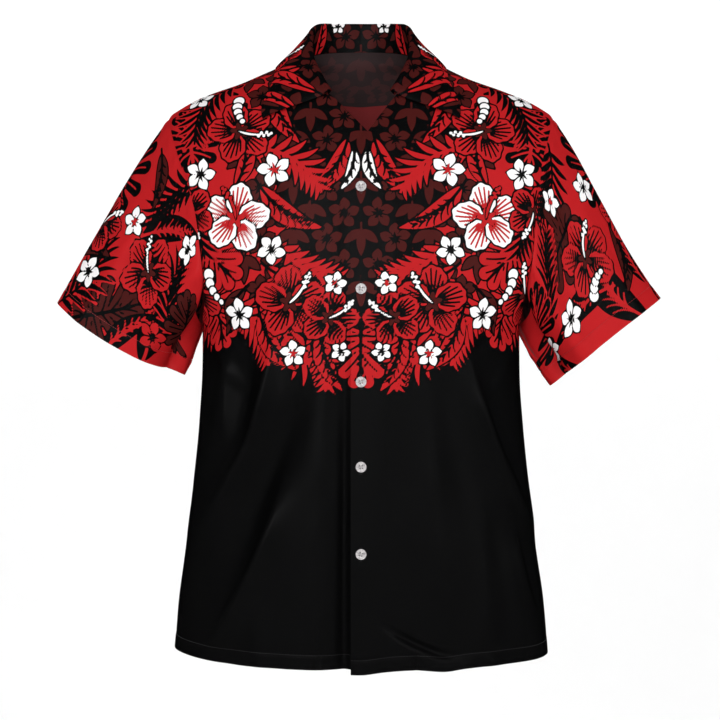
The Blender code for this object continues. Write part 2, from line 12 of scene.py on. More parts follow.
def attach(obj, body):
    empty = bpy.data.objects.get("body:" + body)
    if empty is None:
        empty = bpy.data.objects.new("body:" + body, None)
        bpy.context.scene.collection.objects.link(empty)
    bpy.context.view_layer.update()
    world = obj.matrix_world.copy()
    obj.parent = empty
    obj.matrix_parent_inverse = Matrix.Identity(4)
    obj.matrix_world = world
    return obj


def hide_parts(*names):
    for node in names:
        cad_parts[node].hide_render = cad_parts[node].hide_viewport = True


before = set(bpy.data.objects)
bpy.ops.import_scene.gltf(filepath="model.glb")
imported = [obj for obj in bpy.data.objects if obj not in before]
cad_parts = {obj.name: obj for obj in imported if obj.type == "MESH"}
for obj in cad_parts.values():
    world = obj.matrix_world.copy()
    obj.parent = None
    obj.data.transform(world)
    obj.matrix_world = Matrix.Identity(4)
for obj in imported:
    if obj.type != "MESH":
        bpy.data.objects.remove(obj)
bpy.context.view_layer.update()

# ============================================================ the printed satin
# Thin polyester satin with a soft sheen, printed red, maroon and white on black before it is cut. The print
# goes only part of the way through, so the inside of the cloth is a dull charcoal with a ghost of it.
BLACK_INK = (0.0016, 0.0016, 0.0017, 1.0)
RED_INK = (0.45, 0.0125, 0.0150, 1.0)
MAROON_INK = (0.058, 0.0078, 0.0068, 1.0)
WHITE_INK = (0.92, 0.90, 0.90, 1.0)
INSIDE_GREY = (0.068, 0.0460, 0.0470, 1.0)
SHEEN = (0.33, 0.33, 0.33, 1.0)
NO_TINT = (0.0, 0.0, 0.0, 1.0)
INK_EDGE = 0.0004  # how soft a printed edge is
INK_REACH = 0.006  # edges are known this far off
INK_CLOUDS = 22.0  # uneven patches of ink to the metre
YARNS = (2600.0, 700.0, 1.0)  # flecks to the metre, across the threads and along them


class Wire:
    """An output of a material's nodes. Sums on it add Math nodes."""

    def __init__(self, tree, socket=None):
        self.tree = tree
        self.socket = socket

    def node(self, kind, settings=None, sockets=None, out=0):
        made = self.tree.nodes.new(kind)
        for name, value in (settings or {}).items():
            setattr(made, name, value)
        for name, value in (sockets or {}).items():
            if isinstance(value, Wire):
                self.tree.links.new(value.socket, made.inputs[name])
            else:
                made.inputs[name].default_value = value
        return Wire(self.tree, made.outputs[out])

    def sum(self, operation, *values):
        return self.node("ShaderNodeMath", {"operation": operation}, dict(enumerate(values)))

    def __add__(self, other):
        return self.sum("ADD", self, other)

    def __sub__(self, other):
        return self.sum("SUBTRACT", self, other)

    def __rsub__(self, other):
        return self.sum("SUBTRACT", other, self)

    def __mul__(self, other):
        return self.sum("MULTIPLY", self, other)

    def __truediv__(self, other):
        return self.sum("DIVIDE", self, other)

    __radd__ = __add__
    __rmul__ = __mul__

    def clamped(self):
        return self.node("ShaderNodeClamp", None, {0: self})

    def part(self, axis):
        return self.node("ShaderNodeSeparateXYZ", None, {0: self}, out=axis)

    def scaled(self, by):
        return self.node("ShaderNodeVectorMath", {"operation": "MULTIPLY"}, {0: self, 1: by})

    def blend(self, under, over):
        """Colour under where this is 0 and over where it is 1."""
        return self.node("ShaderNodeMix", {"data_type": "RGBA"}, {0: self, 6: under, 7: over}, out=2)

    def veil(self, over, share):
        """This colour seen through this share of a thin layer of another."""
        return self.node("ShaderNodeMix", {"data_type": "RGBA"}, {0: share, 6: self, 7: over}, out=2)

    def noise(self, scale, detail=2.0, roughness=0.5):
        sockets = {"Vector": self, "Scale": scale, "Detail": detail, "Roughness": roughness}
        return self.node("ShaderNodeTexNoise", None, sockets)


def new_material(name, **constants):
    """A material whose Principled shader has these constants, and a Wire to add its nodes with."""
    made = bpy.data.materials.new(name)
    made.use_nodes = True
    shader = made.node_tree.nodes["Principled BSDF"]
    for socket, value in constants.items():
        shader.inputs[socket.replace("_", " ")].default_value = value
    return made, Wire(made.node_tree), shader


def feed(wire, shader, socket):
    wire.tree.links.new(wire.socket, shader.inputs[socket])


def satin(name, dulled, gloss, **constants):
    """Satin whose inks come from the cloth's own print. dulled is how much of it this side's plain yarns hide."""
    made, start, shader = new_material(name, **constants)
    inks = start.node("ShaderNodeAttribute", {"attribute_name": "print"}, out=1)
    cloth = start.node("ShaderNodeAttribute", {"attribute_name": "cloth"}, out=1)
    colour = BLACK_INK
    for axis, ink in enumerate((RED_INK, MAROON_INK, WHITE_INK)):
        colour = (inks.part(axis) / INK_EDGE + 0.5).clamped().blend(colour, ink)
    if dulled:
        colour = colour.veil(INSIDE_GREY, dulled)
    # The ink takes a little unevenly, in soft clouds and along single threads.
    clouds = cloth.noise(INK_CLOUDS, 3.0)
    threads = cloth.scaled(YARNS).noise(1.0, 1.0)
    uneven = (clouds - 0.5) * 0.5 + (threads - 0.5) * 0.9
    lighter = start.node("ShaderNodeHueSaturation", None, {"Value": 1.0 + uneven * 0.35, "Color": colour})
    feed(lighter, shader, "Base Color")
    feed(constants["Roughness"] + (clouds - 0.5) * 0.10 + (threads - 0.5) * 0.12, shader, "Roughness")
    bump = start.node("ShaderNodeBump", None, {"Strength": 0.16, "Distance": 0.00025, "Height": threads})
    feed(bump, shader, "Normal")
    # The floats of the satin's weave shine alike from every side, where a smooth coat would glare at its edges.
    floats = {"Base Color": SHEEN, "Metallic": 1.0, "Roughness": 0.38, "Specular Tint": NO_TINT, "Normal": bump}
    sheen = start.node("ShaderNodeBsdfPrincipled", None, floats)
    both = start.node("ShaderNodeMixShader", None, {0: gloss, 1: Wire(start.tree, shader.outputs[0]), 2: sheen})
    start.tree.links.new(both.socket, start.tree.nodes["Material Output"].inputs["Surface"])
    return made


# ============================================================ the print
# An aloha print laid out for the cut panels: a red ground over the shoulders, edged with fronds and leaves,
# with hibiscus and plumeria blossoms. Every edge is worked out as a distance on the flat cloth.
Motif = namedtuple("Motif", "draw across along turn size ink detail hand", defaults=(1,))
OUTLINE = 0.0020  # a motif is outlined this wide
LINE = 0.0026  # a drawn line is this wide where it is fullest


class Print:
    """The inks on one piece of cloth, known as how far inside its edge each point of the cloth lies."""

    def __init__(self, across, along):
        self.across, self.along = across.ravel(), along.ravel()
        self.inks = {ink: np.full(self.across.size, -INK_REACH) for ink in ("red", "maroon", "white")}

    def lay(self, ink, here, inside):
        """Prints a shape over what is there. Black is the cloth with every other ink cut away."""
        for name, known in self.inks.items():
            old = known[here]
            known[here] = np.maximum(old, inside) if name == ink else np.minimum(old, -inside)

    def outlined(self, ink, here, inside, around="black", border=OUTLINE):
        """Prints a shape with a border round it."""
        self.lay(around, here, inside + border)
        self.lay(ink, here, inside)

    def seen_from(self, motif, reach):
        """The points within reach of a motif, as (which, x, y), with x along the motif's own way."""
        across, along = self.across - motif.across, self.along - motif.along
        here = np.flatnonzero(across**2 + along**2 < (reach * 1.15) ** 2)
        c, s = math.cos(math.radians(motif.turn)), math.sin(math.radians(motif.turn))
        across, along = across[here], along[here]
        return here, across * c + along * s, (along * c - across * s) * motif.hand

    def field(self):
        return np.clip(np.stack([self.inks[i] for i in ("red", "maroon", "white")], axis=1), -INK_REACH, INK_REACH)


def disc(x, y, radius):
    return radius - np.hypot(x, y)


def blade(x, y, length, width, bow=0.0, fullest=0.45):
    """Distance inside a pointed leaf from the origin along x, bowed sideways and fullest at that share."""
    t = np.clip(x / length, 0.0, 1.0)
    aside = np.abs(y - 4 * bow * t * (1 - t))
    shape = t ** (math.log(0.5) / math.log(fullest))
    half = width / 2 * np.sin(math.pi * np.clip(shape, 0.0, 1.0)) ** 0.9
    beyond = np.maximum(-x, x - length)
    return np.where(beyond > 0, -np.hypot(np.maximum(beyond, 0.0), aside), half - aside)


def finger(x, y, length, root, tip):
    """Distance inside a rounded finger from the origin along x, root wide at its start and tip wide at its end."""
    t = np.clip(x / length, 0.0, 1.0)
    return (root + (tip - root) * t) / 2 - np.hypot(x - t * length, y)


def line(x, y, length, bow=0.0, wide=1.0):
    """Distance inside a pen line from the origin along x that thins to its end."""
    t = np.clip(x / length, 0.0, 1.0)
    aside = np.hypot(x - t * length, y - 4 * bow * t * (1 - t))
    return LINE * wide / 2 * (1.2 - 0.28 * t) - aside


def ray(x, y, angle):
    """(x, y) seen from a line that leaves the origin at this angle in degrees."""
    c, s = math.cos(math.radians(angle)), math.sin(math.radians(angle))
    return x * c + y * s, y * c - x * s


def long_leaf(cloth, motif):
    """A long pointed leaf with its midrib, and veins that run forward from it."""
    size = motif.size
    here, x, y = cloth.seen_from(motif, size * 1.1)
    bow, wide = 0.12 * size, size * 0.27
    edge = blade(x, y, size, wide, bow, 0.40)
    cloth.outlined(motif.ink, here, edge)
    veins = line(x + 0.10 * size, y + 0.35 * bow, size * 1.02, bow * 1.06, 1.25)
    pairs = max(4, round(size / 0.014))
    for i in range(pairs):
        t = 0.10 + 0.72 * (i + 0.5) / pairs
        slope = math.degrees(math.atan2(4 * bow * (1 - 2 * t), size))
        for side in (-1, 1):
            vx, vy = ray(x - t * size, y - 4 * bow * t * (1 - t), slope + side * 34)
            vein = line(vx, vy, wide * 0.62, side * -0.02 * size, 0.85)
            veins = np.maximum(veins, np.minimum(vein, edge - 0.0016))
    cloth.lay(motif.detail, here, veins)


def contrast(ink):
    """The ink that borders this one where it may lie on its own colour."""
    return "red" if ink == "black" else "black"


def fern_frond(cloth, motif):
    """A palm frond: a bowed stem with parted leaflets that lie forward on both sides."""
    size = motif.size
    here, x, y = cloth.seen_from(motif, size * 1.15)
    bow = 0.14 * size
    frond = line(x, y, size, bow, 1.3)
    pairs = max(7, round(size / 0.0115))
    for i in range(pairs):
        t = 0.08 + 0.90 * i / pairs
        lean = 64 - 34 * t
        reach = size * 0.38 * math.sin(math.pi * (0.14 + 0.76 * t)) ** 0.8
        slope = math.degrees(math.atan2(4 * bow * (1 - 2 * t), size))
        wide = 0.92 * size / pairs * math.sin(math.radians(lean)) - OUTLINE * 0.9
        for side in (-1, 1):
            lx, ly = ray(x - t * size, y - 4 * bow * t * (1 - t), slope + side * lean)
            frond = np.maximum(frond, blade(lx, ly, reach, wide, -side * reach * 0.10, 0.42))
    cloth.outlined(motif.ink, here, frond, contrast(motif.ink))


def split_leaf(cloth, motif):
    """A monstera leaf: fingers side by side from its midrib, slit from each other half of the way in."""
    size = motif.size
    here, x, y = cloth.seen_from(motif, size)
    leaf, ribs = np.full(x.shape, -INK_REACH * 3), line(x + 0.60 * size, y, size * 1.20, 0.0, 1.5)
    fingers = (
        (-0.36, 150, 0.24), (-0.31, 117, 0.40), (-0.22, 88, 0.46),
        (-0.08, 63, 0.46), (0.08, 41, 0.42), (0.25, 20, 0.33),
    )
    for start, angle, reach in fingers:
        for side in (-1, 1):
            fx, fy = ray(x - start * size, y, side * angle)
            leaf = np.maximum(leaf, finger(fx, fy, reach * size, size * 0.12, size * 0.205))
            ribs = np.maximum(ribs, line(fx, fy, (reach - 0.02) * size, side * -0.015 * size, 0.9))
    leaf = np.maximum(leaf, finger(x + 0.24 * size, y, size * 0.62, size * 0.42, size * 0.16))
    for start, angle, _ in fingers[1:-1]:
        for side in (-1, 1):
            hx, hy = ray(x - (start + 0.075) * size, y, side * (angle - 12))
            leaf = np.minimum(leaf, -blade(hx - 0.085 * size, hy, size * 0.10, size * 0.034))
    cloth.outlined(motif.ink, here, leaf, contrast(motif.ink))
    cloth.lay(motif.detail, here, np.minimum(ribs, leaf))


def hibiscus(cloth, motif):
    """A hibiscus blossom: five ruffled petals that lap over each other, an eye, and a long stamen."""
    size = motif.size
    here, x, y = cloth.seen_from(motif, size * 1.25)
    for k in range(5):
        px, py = ray(x, y, 72 * k + 8)
        middle, long, wide = 0.56 * size, 0.46 * size, 0.385 * size
        around = np.arctan2(py / wide, (px - middle) / long)
        ruffle = 1 + 0.035 * np.sin(9 * around + 1.7 * k) + 0.03 * np.sin(4 * around + k)
        petal = (ruffle - np.hypot((px - middle) / long, py / wide)) * wide
        cloth.outlined(motif.ink, here, petal)
        for angle, reach in ((-25, 0.52), (-15, 0.66), (-5, 0.76), (5, 0.80), (15, 0.70), (25, 0.54)):
            vx, vy = ray(px, py, angle)
            vein = line(vx - 0.14 * size, vy, size * reach, 0.015 * size * angle / 18, 0.9)
            cloth.lay(motif.detail, here, np.minimum(vein, petal - 0.0024))
    around = np.arctan2(y, x)
    eye = size * (0.21 + 0.085 * np.cos(5 * (around - math.radians(8)))) - np.hypot(x, y)
    eye_ink, pollen = {"white": ("red", "red"), "red": ("maroon", "white"), "maroon": ("black", "black")}[motif.ink]
    cloth.outlined(eye_ink, here, eye, border=0.0012)
    sx, sy = ray(x, y, 44)
    stamen = blade(sx + 0.04 * size, sy, size * 0.98, size * 0.070, 0.09 * size, 0.30)
    for step, aside in ((0.60, 0.135), (0.68, 0.015), (0.76, 0.115), (0.84, -0.01), (0.90, 0.085), (0.98, 0.02)):
        stamen = np.maximum(stamen, disc(sx - step * size, sy - aside * size, 0.0019))
    cloth.outlined(pollen, here, stamen, border=0.0017)


def plumeria(cloth, motif):
    """A small plumeria blossom: five smooth petals turned like a pinwheel round a dark eye."""
    size = motif.size
    here, x, y = cloth.seen_from(motif, size * 1.2)
    for k in range(6):
        px, py = ray(x, y, 72 * k)
        petal = blade(px, py, size, size * 0.62, 0.07 * size, 0.60)
        # The first petal's far half is laid again, so that each one laps over the next all the way round.
        petal = np.minimum(petal, -py) if k == 5 else petal
        if k < 5:
            cloth.lay("black", here, petal + OUTLINE)
        cloth.lay(motif.ink, here, petal)
    throat = disc(x, y, size * 0.10)
    for k in range(5):
        px, py = ray(x, y, 72 * k + 4)
        throat = np.maximum(throat, blade(px, py, size * 0.52, size * 0.13, 0.02 * size, 0.35))
    cloth.lay(motif.detail, here, throat)


def berries(cloth, motif):
    """A sprig of round berries that get smaller along a bowed stem."""
    size = motif.size
    here, x, y = cloth.seen_from(motif, size * 1.1)
    bow = 0.16 * size
    cloth.lay("black", here, line(x, y, size * 0.92, bow, 1.2))
    for i, t in enumerate((0.16, 0.38, 0.58, 0.76, 0.92)):
        berry = disc(x - t * size, y - 4 * bow * t * (1 - t), 0.0068 - 0.0009 * i)
        cloth.outlined(motif.ink, here, berry)


def sprig(cloth, motif):
    """Three plain leaflets on a short stem."""
    size = motif.size
    here, x, y = cloth.seen_from(motif, size * 1.2)
    leaflets = line(x + 0.22 * size, y, size * 0.30, 0.0, 0.9)
    for angle, reach in ((-50, 0.80), (0, 1.0), (50, 0.80)):
        lx, ly = ray(x, y, angle)
        leaflets = np.maximum(leaflets, blade(lx - 0.06 * size, ly, reach * size, size * 0.34))
    cloth.outlined(motif.ink, here, leaflets)


def red_ground(cloth, corners):
    """Prints a red patch between corners on the flat cloth, rounded where two sides meet."""
    x, y = cloth.across, cloth.along
    near = np.full(x.size, 1.0)
    inside = np.zeros(x.size, bool)
    for (ax, ay), (bx, by) in zip(corners, corners[1:] + corners[:1]):
        t = np.clip(((x - ax) * (bx - ax) + (y - ay) * (by - ay)) / ((bx - ax) ** 2 + (by - ay) ** 2), 0.0, 1.0)
        near = np.minimum(near, np.hypot(x - ax - t * (bx - ax), y - ay - t * (by - ay)))
        crossing = (ay > y) != (by > y)
        inside ^= crossing & (x < ax + (bx - ax) * (y - ay) / (by - ay if by != ay else 1.0))
    cloth.lay("red", slice(None), np.where(inside, near, -near) + 0.004)


def motifs(draw, ink, detail, *rows):
    """Motifs of one kind: how far across and along in mm, turn in degrees, size in mm, and -1 if turned over."""
    return [Motif(draw, x / 1000, y / 1000, turn, size / 1000, ink, detail, *hand) for x, y, turn, size, *hand in rows]


def half_drop(rows, columns, top):
    """Blossoms and sprigs in half-drop rows from this height down, tone on tone."""
    made = []
    for row in range(rows):
        for column in range(columns):
            x, y = 0.020 * (row % 2) + 0.040 * column, top - 0.0305 * row
            if (row + column) % 2:
                made.append(Motif(plumeria, x, y, 90, 0.0190, "maroon", "black"))
            else:
                made.append(Motif(sprig, x, y + 0.012, 270, 0.0310, "maroon", "black"))
    return made


def mirrored(motif):
    """The same motif on the other half of the cloth, turned over."""
    return motif._replace(across=-motif.across, turn=180 - motif.turn, hand=-motif.hand)


def print_both_halves(cloth, layout):
    for motif in layout:
        motif.draw(cloth, motif)
        motif.draw(cloth, mirrored(motif))


# ============================================================ the fronts
# Two panels of satin cut from the hem to the shoulder. The left one laps over the right down the centre. Each
# front edge and the hem are turned under, and the sides and shoulders are seamed to the back.
PLAIN_COLUMNS = ("square", "share", "around", "drift", "start", "end", "spread", "seam_angle", "edge_angle")


def table(kind, *rows):
    """Rows as records in metres. They give lengths in mm, and angles and shares as they are."""
    scales = [1 if column in PLAIN_COLUMNS else 1000 for column in kind._fields]
    return [kind(*(value / scale for value, scale in zip(row, scales))) for row in rows]


Section = namedtuple("Section", "height half_width front back square")
SECTIONS = table(Section, (-733, 229, 131, 121, 2.35), (-667, 223.5, 132, 118, 2.35),
    (-593, 213.5, 132, 114, 2.35), (-519, 205, 131, 110, 2.3), (-446, 198, 130, 110, 2.25),
    (-390, 194.5, 129, 113, 2.2), (-350, 194, 128, 117, 2.2), (-330, 194, 128, 120, 2.15),
    (-300, 218, 127, 123, 2.1), (-270, 238, 125, 125, 2.1), (-220, 258, 121, 127, 2.05), (-160, 262, 112, 123, 2),
    (-120, 258, 101, 116, 2), (-95, 250, 92, 109, 2), (-75, 237, 83, 101, 2), (-62, 219, 77, 95, 2),
    (-50, 196, 71, 89, 2), (-32.5, 148, 61, 79, 2), (-11, 97, 48, 67, 2), (0, 66, 40, 62, 2), (22, 56, 30, 57, 2))
UNDERARM = -0.330
SHOULDER_POINT = -0.075
NECK_POINT = 0.0
BACK_NECK = 0.017
LAP_HALF = 0.012  # each front runs this far past the centre line
LAP_STEP = 0.00105  # the left front stands this far out there, and the right one as far in
LAP_FADE = 0.060
HEM_RISE = {1: 0.005, -1: 0.011}  # the hem is this much higher at each side seam
HEM_RISE_SHARE = 0.3

ArmholeRow = namedtuple("ArmholeRow", "share left_front right_front back")
ARMHOLE = table(ArmholeRow, (0, 194, 194, 194), (0.13, 197, 188, 195), (0.26, 203, 189, 199),
    (0.39, 207, 193, 204), (0.52, 210, 198, 209), (0.65, 214, 207, 215), (0.78, 219, 219, 222),
    (0.9, 228, 229, 230), (1, 236, 236, 236))
NecklineRow = namedtuple("NecklineRow", "out height")
NECKLINE_LEFT = table(NecklineRow, (66, 0), (64, -8), (61, -20), (56, -34), (49, -46), (40, -58), (24, -79),
    (8.3, -101), (-12, -124))
NECKLINE_RIGHT = NECKLINE_LEFT[:4] + table(NecklineRow, (48, -45), (37, -54), (22.6, -68), (7, -85), (-12, -105))

# Folds run from their top to their foot in the (x, height) plane, bowed sideways. Positive ones stand out.
Fold = namedtuple("Fold", "top_x top_z foot_x foot_z bow width depth")
FRONT_FOLDS = table(Fold, (-104, -345, -190, -572, -17, 16, 10), (-156, -350, -170, -480, 0, 12, 6),
    (-135, -355, -150, -500, -4, 16, -8), (-70, -420, -176, -660, 4, 24, -16), (-90, -515, -180, -715, -10, 16, 9),
    (128, -360, 202, -580, 12, 16, 8.5), (98, -370, 152, -600, 10, 22, -4), (176, -560, 214, -740, 8, 15, 6),
    (24, -676, 118, -716, 8, 5.2, -5.8))
# The right front sinks beside the edge that laps over it, more and more towards the hem.
LAP_TROUGHS = table(Fold, (-24, -360, -28, -1010, 0, 18, -8), (-18.5, -300, -19.5, -1060, 0, 8.5, -7))
# Lesser creases, which only the satin shows: the sharp crests of the big folds, drags from the underarms and
# the bust, and a slack front hem.
FRONT_CREASES = table(Fold, (-106, -362, -184, -562, -16, 6, 6), (-158, -375, -162, -470, 0, 5.2, 2.6),
    (-98, -530, -178, -708, -9, 6.4, 5.4), (129, -380, 199, -562, 10, 5.8, 6.2), (179, -570, 208, -680, 4, 5.6, 3),
    (64, -705, 67, -760, 0, 4.5, -1.8), (-176, -300, -118, -372, 6, 7, -2.2), (-182, -322, -134, -410, 8, 7, 2),
    (184, -305, 124, -368, -6, 7, -2.2), (186, -328, 142, -430, -8, 7, 2.2), (-40, -150, -46, -345, -6, 16, 2),
    (44, -170, 52, -360, 5, 15, 1.8), (-98, -130, -128, -270, 6, 16, -2.2), (100, -130, 124, -265, -6, 16, -2.2),
    (82, -430, 104, -690, 8, 18, 2.2), (140, -540, 152, -760, -4, 14, 2), (-118, -650, -128, -780, 2, 13, 2))
HemDrop = namedtuple("HemDrop", "x width drop")
LEFT_HEM_DROPS = table(HemDrop, (-4, 30, 5), (98, 22, 3))

CLOTH_STEP = 0.00165  # spacing of the cloth's points
CLOTH_THICK = 0.0006
TURNED_THICK = 0.0013  # where an edge is turned under
HEM_DEEP = 0.017  # depth of the turned hem


def smooth_line(xs, ys):
    """A curve through the points that never overshoots them (xs rise), for arrays of x."""
    xs, ys = np.array(xs, float), np.array(ys, float)
    gaps = np.diff(xs)
    slopes = np.diff(ys) / gaps
    tangents = np.zeros(len(xs))
    tangents[0], tangents[-1] = slopes[0], slopes[-1]
    for i in range(1, len(xs) - 1):
        if slopes[i - 1] * slopes[i] > 0:
            near, far = 2 * gaps[i] + gaps[i - 1], gaps[i] + 2 * gaps[i - 1]
            tangents[i] = (near + far) / (near / slopes[i - 1] + far / slopes[i])

    def value(x):
        i = np.clip(np.searchsorted(xs, x) - 1, 0, len(gaps) - 1)
        t = np.clip((x - xs[i]) / gaps[i], -0.2, 1.2)
        start = (1 + 2 * t) * (1 - t) ** 2 * ys[i] + t * (1 - t) ** 2 * gaps[i] * tangents[i]
        return start + t * t * (3 - 2 * t) * ys[i + 1] + t * t * (t - 1) * gaps[i] * tangents[i + 1]

    return value


GIRTH = [0.0]
for low, high in zip(SECTIONS, SECTIONS[1:]):
    GIRTH.append(GIRTH[-1] + math.hypot(high.height - low.height, high.half_width - low.half_width))
HEIGHT_AT = smooth_line(GIRTH, [s.height for s in SECTIONS])
RUN_AT = smooth_line([s.height for s in SECTIONS], GIRTH)
WIDTH_AT, FRONT_AT, BACK_AT, SQUARE_AT = (
    smooth_line(GIRTH, [getattr(s, column) for s in SECTIONS])
    for column in ("half_width", "front", "back", "square")
)
ARMHOLE_LEFT_FRONT, ARMHOLE_RIGHT_FRONT, ARMHOLE_BACK = (
    smooth_line([r.share for r in ARMHOLE], [getattr(r, column) for r in ARMHOLE])
    for column in ("left_front", "right_front", "back")
)


def smoothstep(x, low, high):
    t = np.clip((x - low) / (high - low), 0.0, 1.0)
    return t * t * (3 - 2 * t)


def unit(vectors):
    return vectors / np.maximum(np.linalg.norm(vectors, axis=-1, keepdims=True), 1e-12)


def body_point(angle, run):
    """The body's form: angle 0 is the centre front and a quarter turn the wearer's left side."""
    power = 2 / SQUARE_AT(run)
    s, c = np.sin(angle), np.cos(angle)
    depth = np.where(c >= 0, FRONT_AT(run), BACK_AT(run))
    x = WIDTH_AT(run) * np.copysign(np.abs(s) ** power, s)
    y = -depth * np.copysign(np.abs(c) ** power, c)
    return np.stack(np.broadcast_arrays(x, y, HEIGHT_AT(run)), axis=-1)


def body_normal(angle, run):
    step = 0.002
    around = body_point(angle + step, run) - body_point(angle - step, run)
    upward = body_point(angle, run + step) - body_point(angle, run - step)
    return unit(np.cross(around, upward))


def front_angle(x, height):
    run = RUN_AT(height)
    ratio = np.minimum(np.abs(x) / WIDTH_AT(run), 1.0)
    return np.copysign(np.arcsin(ratio ** (SQUARE_AT(run) / 2)), x)


def bell(distance, width, middle=0.0):
    """A smooth hump, 1 high at its middle, that has all but gone two widths away."""
    return np.exp(-(((distance - middle) / width) ** 2))


def fold_height(folds, x, z):
    """How far folds lift the cloth. Each one starts narrow, widens to its foot, and fades over both of its ends."""
    total = np.zeros(np.shape(x))
    for f in folds:
        length = math.hypot(f.foot_x - f.top_x, f.foot_z - f.top_z)
        along_x, along_z = (f.foot_x - f.top_x) / length, (f.foot_z - f.top_z) / length
        t = ((x - f.top_x) * along_x + (z - f.top_z) * along_z) / length
        aside = (x - f.top_x) * along_z - (z - f.top_z) * along_x - 4 * f.bow * t * (1 - t)
        width = f.width * (0.8 + 0.35 * np.clip(t, 0, 1))
        fade = smoothstep(t, -0.12, 0.38) * (1 - smoothstep(t, 0.64, 1.12))
        total += f.depth * bell(aside, width) * fade
    return total


def slack(x, z, seed):
    """The unevenness of hanging satin: long shallow waves that mostly run down the cloth."""
    r = np.random.default_rng(seed)
    total = np.zeros(np.shape(x))
    for _ in range(9):
        lean, pitch = r.normal(0, 0.28), r.uniform(0.035, 0.085)
        along = x + lean * z + 0.012 * np.sin(z / r.uniform(0.06, 0.14) + r.uniform(0, 6.3))
        total += r.uniform(0.3, 1.0) * np.sin(2 * math.pi * along / pitch + r.uniform(0, 6.3)) * (
            0.6 + 0.4 * np.sin(z / r.uniform(0.05, 0.16) + r.uniform(0, 6.3))
        )
    return total * 0.00020


def armhole_at(around, side):
    """(angle, run) of an armhole seam: around 0 is the underarm, 0.25 front, 0.5 shoulder, 0.75 back."""
    rise = np.sin(math.pi * around) ** 2
    height = UNDERARM + (SHOULDER_POINT - UNDERARM) * rise
    in_front = around <= 0.5
    front_line = ARMHOLE_LEFT_FRONT if side > 0 else ARMHOLE_RIGHT_FRONT
    angle = front_angle(np.where(in_front, front_line(rise), ARMHOLE_BACK(rise)), height)
    angle = np.where((rise < 1e-9) | (rise > 1 - 1e-9), math.pi / 2, angle)
    return np.where(in_front, angle, math.pi - angle), RUN_AT(height)


SIDE_SHARE = 17 / 31  # share of a panel's way up that lies below the underarm
EDGE_SHARE = 23 / 31  # the front edge turns into the neckline here


def side_edge(up, side, behind):
    """(angle, run) of a panel's outer edge: the side seam, then half of the armhole up to the shoulder."""
    half = 0.5 * np.clip((up - SIDE_SHARE) / (1 - SIDE_SHARE), 0.0, 1.0)
    angle, run = armhole_at(1 - half if behind else half, side)
    below = up <= SIDE_SHARE
    return np.where(below, math.pi / 2, angle), np.where(below, RUN_AT(UNDERARM) * up / SIDE_SHARE, run)


def front_edge(up, neckline):
    """(angle, run) of a front's inner edge: straight up the centre, then along the neckline."""
    corner = neckline[-1]
    height = np.where(
        up <= SIDE_SHARE,
        HEIGHT_AT(RUN_AT(UNDERARM) * up / SIDE_SHARE),
        UNDERARM + (corner.height - UNDERARM) * (up - SIDE_SHARE) / (EDGE_SHARE - SIDE_SHARE),
    )
    out = np.full(up.shape, corner.out)
    rising = neckline[::-1]
    steps = np.cumsum([0.0] + [math.hypot(b.out - a.out, b.height - a.height) for a, b in zip(rising, rising[1:])])
    share = np.clip((up - EDGE_SHARE) / (1 - EDGE_SHARE), 0.0, 1.0) * steps[-1]
    above = up > EDGE_SHARE
    out = np.where(above, smooth_line(steps, [r.out for r in rising])(share), out)
    height = np.where(above, smooth_line(steps, [r.height for r in rising])(share), height)
    angle = np.where(up > 1 - 1e-9, math.pi / 2, front_angle(out, height))
    return angle, RUN_AT(height)


def hem_lift(angle, up, side):
    return HEM_RISE[side] * np.sin(angle) ** 2 * np.maximum(0.0, 1 - up / HEM_RISE_SHARE)


def lengths(points, axis):
    """How far along the cloth each point lies from the first edge of this axis."""
    steps = np.linalg.norm(np.diff(points, axis=axis), axis=-1)
    start = np.zeros_like(steps.take([0], axis=axis))
    return np.concatenate([start, np.cumsum(steps, axis=axis)], axis=axis)


def edge_distances(points):
    """Distance along the cloth from each of its four edges: first and last column, hem, top."""
    across, up = lengths(points, 1), lengths(points, 0)
    return across, across[:, -1:] - across, up, up[-1:, :] - up


SEAM_SINK = 0.0011  # a seam draws the cloth in this far
SEAM_WIDE = 0.0030


def sewn_in(distance, sink=SEAM_SINK, wide=SEAM_WIDE):
    """How far a sewn edge draws the cloth in, and puckers it slightly beside the seam."""
    return -sink * bell(distance, wide) + 0.22 * sink * bell(distance, wide, 2.6 * wide)


def ripple(along, pitch, drift, wander=2.0):
    """Small waves of uneven length."""
    return np.sin(along / pitch + wander * np.sin(along / drift))


def turned_hem(along, distance):
    """A hem's stitches hold it in, and it ripples a little between them."""
    return 0.0005 * ripple(along, 0.0062, 0.021) * bell(distance, 0.020) - 0.00045 * bell(distance, 0.0022, HEM_DEEP)


def outward_of(points):
    """The way out of a grid of cloth at each point: away from the shirt's upright middle, or a sleeve's own."""
    flat = points.reshape(-1, 3)
    centre = flat.mean(axis=0)
    away = flat * (1.0, 1.0, 0.0) if abs(centre[0]) < 0.19 else flat - centre * (1.0, 0.0, 1.0)
    normal = unit(np.cross(np.gradient(points, axis=1), np.gradient(points, axis=0)))
    return normal if np.sum(normal.reshape(-1, 3) * away) > 0 else -normal


def add_object(name, data):
    made = bpy.data.objects.new(name, data)
    bpy.context.scene.collection.objects.link(made)
    return made


